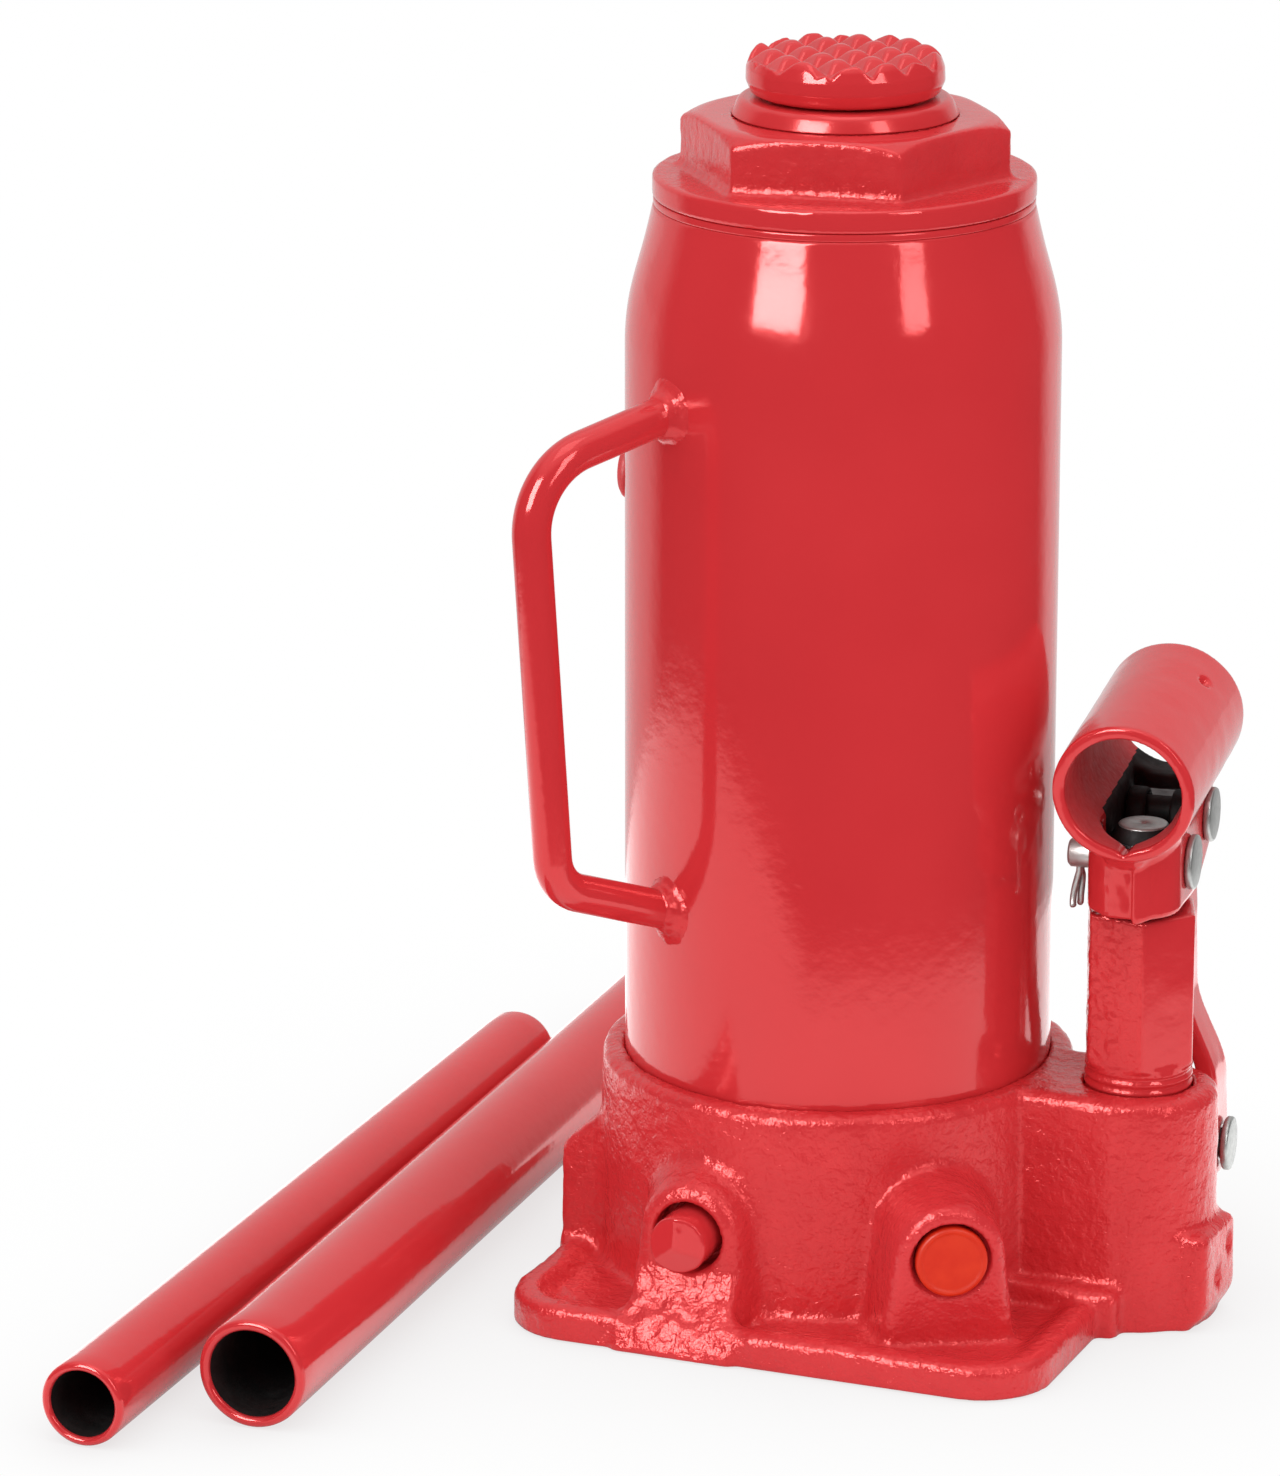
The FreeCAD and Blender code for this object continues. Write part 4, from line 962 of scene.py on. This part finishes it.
def socket_field(x, y, z, axes):
    along, over = socket_place(y, z)
    radial = np.hypot(x, over)
    tube = smooth_max(radial - SOCKET_R, slab(along, 0.0, SOCKET_LENGTH), 0.9)
    cheeks = channel_field(x, y, CHEEK_HALF)
    slope = ((y - 8.5) * 0.51 - (z - CHEEK_FOOT)) * 0.89
    cheeks = smooth_max(cheeks, slab(z, CHEEK_FOOT, 104.0), 0.7)
    cheeks = smooth_max(cheeks, slope, 1.2)
    cheeks = smooth_max(cheeks, y - 20.0, 1.2)
    seam = np.clip((x - 1.3) / 0.3, 0, 1) * np.clip((4.6 - x) / 2.6, 0, 1) * np.clip((-y - 10.0) / 2, 0, 1)
    cheeks = cheeks - 0.75 * seam * np.clip((92.4 - z) / 1.0, 0, 1)
    hammered = lattice_noise(axes, 2.6, 53) * np.clip((1.5 - x) / 1.0, 0, 1) * np.clip((-y - 9.0) / 2, 0, 1)
    cheeks = cheeks + 0.16 * hammered
    swept = (y - LINK_TOP[0]) * 0.54 + (z - LINK_TOP[1]) * 0.84 - LINK_SWEEP_R
    lip = box_field(x, y, z, ((-6.6, 6.6), (18.4, 26.4), (88.0, 98.0)), 0.5)
    lip = smooth_max(lip, -swept, 0.3)
    solid = smooth_min(smooth_min(tube, cheeks, 2.6), lip, 0.8)
    dent = np.sqrt((x - 8.0) ** 2 + (over - 10.1) ** 2 + ((along - 33.0) * 0.8) ** 2) - 1.1
    solid = smooth_max(solid, -dent, 0.6)
    hollow = radial - SOCKET_BORE_R
    channel = channel_field(x, y, CHANNEL_HALF)
    channel = smooth_max(channel, z - 101.0, 0.5)
    torn = 0.5 * lattice_noise(axes, 1.6, 54)
    channel = smooth_max(channel, np.where(z > CHANNEL_ROOF, y - 19.8 + torn, y - 22.2), 0.5)
    notch = np.abs(x) * 0.80 + (91.2 - z) * 0.60
    notch = np.maximum(notch, np.maximum(y + 9.0, z - 99.0))
    hollow = smooth_min(hollow, smooth_min(channel, notch, 1.0), 1.4)
    hollow = np.minimum(hollow, np.maximum(np.maximum(np.abs(x) - CHANNEL_HALF, 10.0 - y), swept))
    solid = smooth_max(solid, -hollow, 0.7)
    bead = np.sqrt((x * 0.42) ** 2 + (y + 14.6) ** 2 + ((z - 89.7) * 1.1) ** 2) - 1.4
    bead = bead + 0.25 * lattice_noise(axes, 1.5, 51)
    solid = smooth_min(solid, np.maximum(bead, -hollow), 0.8)
    return solid + 0.05 * lattice_noise(axes, 4.0, 52) * (radial > 11.6)


socket = field_object("lever_socket", (-14.0, -20.0, 77.4), (14.0, 27.6, 121.2), 0.42, socket_field, PUMP_FRAME)
thinned(socket, 120000)
finish(socket, RED, "socket", "red_paint", "handle_socket")


def socket_channel(x, y, z):
    """Deep faces of the socket's lower channel, which are coloured near black as painted shade."""
    across, back = turned_plan(x, y, (PUMP_X, 0), PUMP_YAW)
    return (channel_field(across, back, 6.8) < 0) & ((z < 91.0) | ((back > -4.0) & (z < 101.2)))


def socket_bore(x, y, z):
    """Faces of the lever's bore, where the paint is thin and dull."""
    across, back = turned_plan(x, y, (PUMP_X, 0), PUMP_YAW)
    along, over = socket_place(back, z)
    return (np.hypot(across, over) < 11.0) & (along > 0.8) & (along < SOCKET_LENGTH - 0.8)


second_material(socket, DULL, socket_bore)
# Painted shade: the channel's deep faces are coloured near black.
second_material(socket, PAINTED_SHADE, socket_channel)


# ---- pins and cotters ----
def between_cheeks(x, y, z):
    """Faces inside the socket's channel, which are coloured near black as painted shade."""
    across, _ = turned_plan(x, y, (PUMP_X, 0), PUMP_YAW)
    return (np.abs(across) < 6.0) & (z > 80.0) & (z < 96.0)


def cross_pin(name, at, seat, tail, body, node):
    """Headed pin across the pump frame, its head on the +X side and its tail end chamfered."""
    outline = [(0, -tail), (2.2, -tail), (2.68, -tail + 0.5), (2.68, -6.2), (2.68, 6.2), (2.68, seat - 0.2),
               (2.9, seat), (4.7, seat), (5.0, seat + 0.3), (5.0, seat + 1.0), (4.85, seat + 1.3), (4.5, seat + 1.4),
               (0, seat + 1.42)]
    place = PUMP_FRAME @ Matrix.Translation((0, at[1], at[2])) @ Matrix.Rotation(math.pi / 2, 4, "Y")
    pin = finish(lathe_solid(name, outline, 56, place), ZINC, body, "zinc_steel", node)
    # Painted shade: the pin's length between the cheeks is coloured near black.
    second_material(pin, PAINTED_SHADE, between_cheeks)


def split_pin(name, at, x, body, node, lean):
    """Split pin: an eye over the pin and two round legs that twist and splay below it."""
    # Each point's offset across, its share of the lean, its offset back and its height, for the leg on the +Y side.
    shape = ((0, 0, 0.02, 6.2), (0, 0, 1.2, 5.8), (0, 0, 1.75, 4.8), (0, 0, 1.3, 3.8), (0, 0, 0.66, 3.2),
             (0, 0, 0.6, 0), (0, 0, 0.6, -3.0), (0.3, 0, 0.6, -4.4), (0.5, 0.5, 0.5, -6.2), (0.55, 1, 0.6, -8.2),
             (0.5, 1.1, 0.9, -9.5), (0.3, 1.1, 1.3, -9.9))
    for side, leg in ((-1, "a"), (1, "b")):
        path = [(x + side * dx + lean * share, at[1] + side * dy, at[2] + dz) for dx, share, dy, dz in shape]
        wire = curve_through(path, 5)
        share = np.ones(len(wire))
        share[-2:] = (0.9, 0.6)
        piece = tube_along(name + "_leg_" + leg, wire, 0.62, 14, PUMP_FRAME, share)
        finish(piece, ZINC, body, "zinc_steel", node)


for name, at, seat, tail, body, node, cotter, cotter_x, lean in (
    ("plunger", PLUNGER_PIN, 8.6, 13.5, "socket", "plunger_pin", "plunger_pin_cotter", -11.5, -0.5),
    ("upper", UPPER_PIN, 8.6, 13.5, "socket", "upper_link_pin", "upper_link_cotter", -11.5, -0.4),
    ("lower", LOWER_PIN, 12.0, 14.8, "base", "lower_link_pin", "lower_link_cotter", -12.8, -0.3),
):
    cross_pin(name + "_cross_pin", at, seat, tail, body, node)
    split_pin(name + "_split_pin", at, cotter_x, body, cotter, lean)


# ---- link plates ----
LINK_LOW_R = 5.8
LINK_TOP_R = 4.7
LINK_INNER_LOW = 7.7
LINK_STEP = 5.5
LINK_THICK = 3.7
JOGGLE_LOW = 38.0
JOGGLE_RISE = 19.0


def link_field(x, y, z, axes):
    top = LINK_TOP
    bottom = (LOWER_PIN[1], LOWER_PIN[2])
    t = np.clip((z - bottom[1]) / (top[1] - bottom[1]), 0, 1)
    middle = bottom[0] + (top[0] - bottom[0]) * t
    bar = np.abs(y - middle) - (LINK_LOW_R - 1.2 * t)
    bar = np.maximum(bar, slab(z, bottom[1], top[1]))
    face = np.minimum(bar, np.hypot(y - bottom[0], z - bottom[1]) - LINK_LOW_R)
    face = smooth_min(face, np.hypot(y - top[0], z - top[1]) - LINK_TOP_R, 0.6)
    narrow = middle - 3.2 - np.clip((77.0 - z) / 45, 0, 1) * 2.6 - y
    face = smooth_max(face, np.where((z < 82) & (z > 30), narrow, -9.0), 0.8)
    t = np.clip((z - JOGGLE_LOW) / JOGGLE_RISE, 0, 1)
    inner = LINK_INNER_LOW - LINK_STEP * t * t * (3 - 2 * t)
    plate = smooth_max(face, slab(np.abs(x), inner, inner + LINK_THICK), 0.9)
    holes = np.minimum(np.hypot(y - 14.5 - 0.69, z - 90.4) - 3.5, np.hypot(y - bottom[0], z - bottom[1]) - 2.75)
    plate = smooth_max(plate, -holes, 0.4)
    return plate + 0.05 * lattice_noise(axes, 3.5, 61)


links = field_object("link_straps", (-12.4, 8.6, 18.6), (12.4, 28.6, 96.2), 0.45, link_field, PUMP_FRAME)
thinned(links, 80000)
finish(links, RED, "link", "red_paint", "link_plates")
# Painted shade: the plates' faces between the cheeks are coloured near black.
second_material(links, PAINTED_SHADE, between_cheeks)


# ---- release valve and overload valve ----
STUB_R = 5.35


def stub_field(x, y, z, axes):
    radial = np.hypot(x, z)
    stub = radial - STUB_R
    for nx, nz, tilt, level in ((-0.85, 0.30, 0.34, 0.0), (0.93, 0.36, 0.26, 0.25), (0.30, -0.95, 0.42, -0.2)):
        plane = (-(y - STUB_LOW[1]) + (x * nx + z * nz + level) * tilt) / math.sqrt(1 + tilt * tilt)
        stub = smooth_max(stub, plane, 0.35)
    stub = np.maximum(stub, y - VALVE_BORE_END)
    thread = smooth_max(radial - 5.75 - 0.2 * np.cos(2 * math.pi * y / 1.5), slab(y, -43.2, -36.0), 0.4)
    nose = smooth_max(radial - 2.45, slab(y, -36.5, STUB_HIGH[1]), 0.4)
    solid = np.minimum(np.minimum(stub, thread), nose)
    return solid + 0.05 * lattice_noise(axes, 1.8, 71)


stub = field_object(
    "release_valve_stub", (-6.6, STUB_LOW[1] - 1.2, -6.6), (6.6, STUB_HIGH[1] + 0.8, 6.6), 0.24, stub_field,
    Matrix.Translation((RELEASE_X, 0, RELEASE_Z)),
)
thinned(stub, 40000)
finish(stub, RED, "release_valve", "red_paint", "release_valve_screw")

cap = lathe_solid(
    "overload_valve_cap",
    [(0, 0.62), (3.6, 0.60), (5.0, 0.52), (5.3, 0.50), (5.55, 0.72), (5.9, 0.80), (6.25, 0.66), (6.48, 0.30),
     (6.5, -0.2), (6.5, -1.3), (6.2, -1.45), (6.15, -5.4), (5.9, -5.8), (0, -5.8)][::-1],
    80, RELIEF_FRAME @ Matrix.Rotation(math.pi / 2, 4, "X"),
)
finish(cap, ORANGE, "base", "orange_plastic", "safety_valve_plug")


# ---- carry handle ----
HANDLE_AT = math.radians(-121.6)
HANDLE_OUT = np.array((math.cos(HANDLE_AT), math.sin(HANDLE_AT), 0))
HANDLE_R = 3.5
HANDLE_BENDS = ((37.9, 169.0), (69.7, 162.2), (64.2, 85.2), (37.9, 75.8))
handle_points = [HANDLE_OUT * rho + np.array((0, 0, z)) for rho, z in HANDLE_BENDS]
handle_line = bent_line(handle_points, (14.0, 8.5), 1.0)
carry = tube_along("carry_bar", handle_line, HANDLE_R, 28)
finish(carry, RED, "base", "red_paint", "carry_handle")


def weld_bead(name, end, toward, seed):
    """Lumpy ring of weld metal where the bar meets the reservoir."""
    along = (toward - end) / np.linalg.norm(toward - end)
    wall = HANDLE_OUT * TUBE_R
    start = end + along * ((TUBE_R - 37.9) / np.dot(along, HANDLE_OUT))

    def field(x, y, z, axes):
        px, py, pz = x - start[0], y - start[1], z - start[2]
        run = px * along[0] + py * along[1] + pz * along[2]
        radial = np.sqrt(np.maximum(px * px + py * py + pz * pz - run * run, 0))
        outside = np.hypot(x, y) - TUBE_R
        spread = 3.7 + 2.3 * np.exp(-np.maximum(outside, 0) / 1.1)
        bead = smooth_max(radial - spread, outside - 3.0, 1.6)
        bead = bead + 0.40 * lattice_noise(axes, 3.2, seed) + 0.22 * lattice_noise(axes, 1.6, seed + 1)
        return np.maximum(bead, -0.35 - outside)

    bead = field_object(name, start - 9.0, start + 9.0, 0.34, field)
    finish(bead, FORGED, "base", "red_paint", "carry_handle_welds")


weld_bead("upper_weld", handle_points[0], handle_points[1], 81)
weld_bead("lower_weld", handle_points[3], handle_points[2], 91)


# ---- loose lever tubes ----
def lever(name, node, body, radius, bore, at, degrees, length):
    """Painted steel tube lying on the floor, its rims rounded and its bore coloured near black as painted shade."""
    a = math.radians(degrees)
    stations = np.linspace(0.0, length, 40)
    wall = radius - bore
    out_rows = [(radius - 0.9, 0.0), (radius - 0.45, 0.14), (radius - 0.12, 0.5), (radius, 1.1)]
    out_rows += [(radius, s) for s in stations[1:-1]]
    out_rows += [(r, length - s) for r, s in out_rows[3::-1]]
    in_rows = [(bore + wall * 0.35, length), (bore + 0.1, length - 0.3), (bore, length - 0.9)]
    in_rows += [(bore, s) for s in stations[1:-1:3][::-1]]
    in_rows += [(bore, 0.9), (bore + 0.1, 0.3), (bore + wall * 0.35, 0.0)]
    lying = Matrix.Rotation(a, 4, "Z") @ Matrix.Rotation(math.pi / 2, 4, "Y")
    place = Matrix.Translation((at[0], at[1], radius)) @ lying
    tube = lathe(name, out_rows + in_rows, 72, place, 0.0015)
    finish(tube, RED, body, "red_paint", node)
    cosine, sine = math.cos(a), math.sin(a)

    def bore_faces(x, y, z):
        off = (x - at[0]) * -sine + (y - at[1]) * cosine
        run = (x - at[0]) * cosine + (y - at[1]) * sine
        return (np.hypot(off, z - radius) < bore + 0.05) & (run > 0.8) & (run < length - 0.8)

    # Painted shade: the bore is coloured near black.
    second_material(tube, PAINTED_SHADE, bore_faces)


lever("thick_lever", "lower_lever_tube", "lower_lever", 10.0, 8.1, (-65.6, -116.5), 92.6, 250.0)
lever("thin_lever", "upper_lever_tube", "upper_lever", 7.8, 6.2, (-89.3, -135.6), 91.5, 207.0)


# ---- CAD nodes that stay: inside parts ----
KEPT = {
    "pressure_cylinder": HONED, "cylinder_base_gasket": COPPER, "reservoir_base_gasket": SEAL,
    "gland_o_ring": SEAL, "ram_wiper_ring": SEAL, "pump_cylinder_gasket": COPPER, "plunger_seal": SEAL,
    "passage_plug": STEEL, "oil_strainer": STEEL, "relief_screw": STEEL, "relief_spring": STEEL, "piston_seal": SEAL,
    "piston_wear_ring": BEARING, "screw_stop_ring": STEEL, "release_ball": STEEL, "suction_ball": STEEL,
    "discharge_ball": STEEL, "relief_ball": STEEL,
}
for node, material in KEPT.items():
    mesh = frame["nodes"][node].data
    mesh.materials.clear()
    mesh.materials.append(material)


# ---- stage, light and camera ----
SECTOR_AHEAD = (0.488, -0.873, 0)
SECTOR_EDGE = (-0.62, -0.42)
FRONT_LEVEL = 0.03
SIDE_LEVEL = 0.80
NEAR_LEVEL = 1.75
NEAR_POOLS = (((0, 0, 0), 0.25), ((-0.157, -0.064, 0), 0.26))
POOL_EDGE = 0.012


def sector(tree, vector):
    """Mirrored brightness of level directions: high behind and beside the jack, low towards the camera."""
    unit = tree.vector("NORMALIZE", tree.vector("MULTIPLY", vector, (1, 1, 0)))
    ahead = tree.vector("DOT_PRODUCT", unit, SECTOR_AHEAD, "Value")
    return tree.span(ahead, *SECTOR_EDGE, SIDE_LEVEL, FRONT_LEVEL)


def floor_material():
    """White to the camera apart from contact shade. In reflections, bright near the jack and dark farther in front."""
    m = Nodes("pale_floor")
    tone = m.mix(m.noise(3.0, 3), (0.80, 0.80, 0.80), (0.84, 0.84, 0.84))
    m.set(colour=tone, rough=m.span(m.noise(8.0, 2), 0.3, 0.7, 0.6, 0.75), specular=0.2)
    rays = m.add("LightPath")
    shade = m.add("AmbientOcclusion", samples=16)
    shade.inputs["Distance"].default_value = 0.09
    plain = m.add("Emission")
    plain.inputs["Strength"].default_value = 1.0
    grey = m.span(shade.outputs["AO"], 0.0, 1.0, 0.62, 1.0)
    m.link(m.mix(grey, (0.40, 0.30, 0.30), (1.0, 1.0, 1.0)), plain.inputs["Color"])
    lit = sector(m, m.place)
    for middle, reach in NEAR_POOLS:
        away = m.vector("DISTANCE", m.place, middle, "Value")
        lit = m.math("MAXIMUM", lit, m.span(away, reach - POOL_EDGE, reach + POOL_EDGE, NEAR_LEVEL, 0.0))
    lit = m.math("MULTIPLY", lit, m.span(shade.outputs["AO"], 0.35, 0.92, 0.25, 1.0))
    mirror = m.add("Emission")
    m.link(lit, mirror.inputs["Strength"])
    shader = m.shader
    for kind, other in (("Is Glossy Ray", mirror), ("Is Camera Ray", plain)):
        mixed = m.add("MixShader")
        m.link(rays.outputs[kind], mixed.inputs[0])
        m.link(shader.outputs[0], mixed.inputs[1])
        m.link(other.outputs[0], mixed.inputs[2])
        shader = mixed
    m.link(shader.outputs[0], m.output.inputs[0])
    return m.material


FLOOR_R = 6000
FLOOR_Z = -0.15
FLOOR_SIDES = 96
around = np.linspace(0, 2 * math.pi, FLOOR_SIDES, endpoint=False)
floor_outline = [(math.cos(t) * FLOOR_R, math.sin(t) * FLOOR_R, FLOOR_Z) for t in around]
floor = make_object("floor", floor_outline, [range(FLOOR_SIDES)], smooth=False)
floor.data.materials.append(floor_material())


def soft_box(name, azimuth, elevation, distance, width, height, radiance):
    """Rectangular soft light that faces the jack and shows only in reflections."""
    light = bpy.data.lights.new(name, "AREA")
    light.shape = "RECTANGLE"
    light.size = width
    light.size_y = height
    light.energy = radiance * math.pi * width * height
    obj = bpy.data.objects.new(name, light)
    bpy.context.scene.collection.objects.link(obj)
    a, e = math.radians(azimuth), math.radians(elevation)
    aim = Vector((0, 0, 0.13))
    obj.visible_diffuse = False
    out = Vector((math.cos(a) * math.cos(e), math.sin(a) * math.cos(e), math.sin(e)))
    obj.location = aim + out * distance
    obj.rotation_euler = (aim - obj.location).to_track_quat("-Z", "Y").to_euler()


soft_box("left_box", -106.0, 28.5, 1.7, 0.80, 0.94, 24.0)
soft_box("right_box", -29.5, 28.5, 1.7, 0.42, 0.94, 9.0)
soft_box("top_box", -68.0, 82, 1.9, 1.0, 1.0, 2.0)

world = bpy.data.worlds.new("studio")
world.use_nodes = True
bpy.context.scene.world = world
sky = Tree(world.node_tree)
direction = sky.add("TexCoord").outputs["Generated"]
parts = sky.add("SeparateXYZ")
sky.link(direction, parts.inputs[0])
up = parts.outputs[2]
rays = sky.add("LightPath")
mirrored = sky.math("MAXIMUM", sector(sky, direction), sky.span(up, 0.62, 0.85, 0.0, 1.5))
strength = sky.between(rays.outputs["Is Glossy Ray"], sky.span(up, 0.0, 1.0, 1.12, 1.74), mirrored)
strength = sky.between(rays.outputs["Is Camera Ray"], strength, 1.25)
background = sky.add("Background")
sky.link(strength, background.inputs["Strength"])
sky.link(background.outputs[0], sky.add("OutputWorld").inputs[0])

camera = bpy.data.objects.new("camera", bpy.data.cameras.new("camera"))
bpy.context.scene.collection.objects.link(camera)
camera.location = (0.4444, -1.1857, 0.4724)
camera.rotation_euler = (math.radians(90 - 16.312), 0, math.radians(22.2))
camera.data.lens = 176.07
camera.data.clip_end = 20.0
bpy.context.scene.camera = camera
bpy.context.scene.view_settings.view_transform = "Standard"
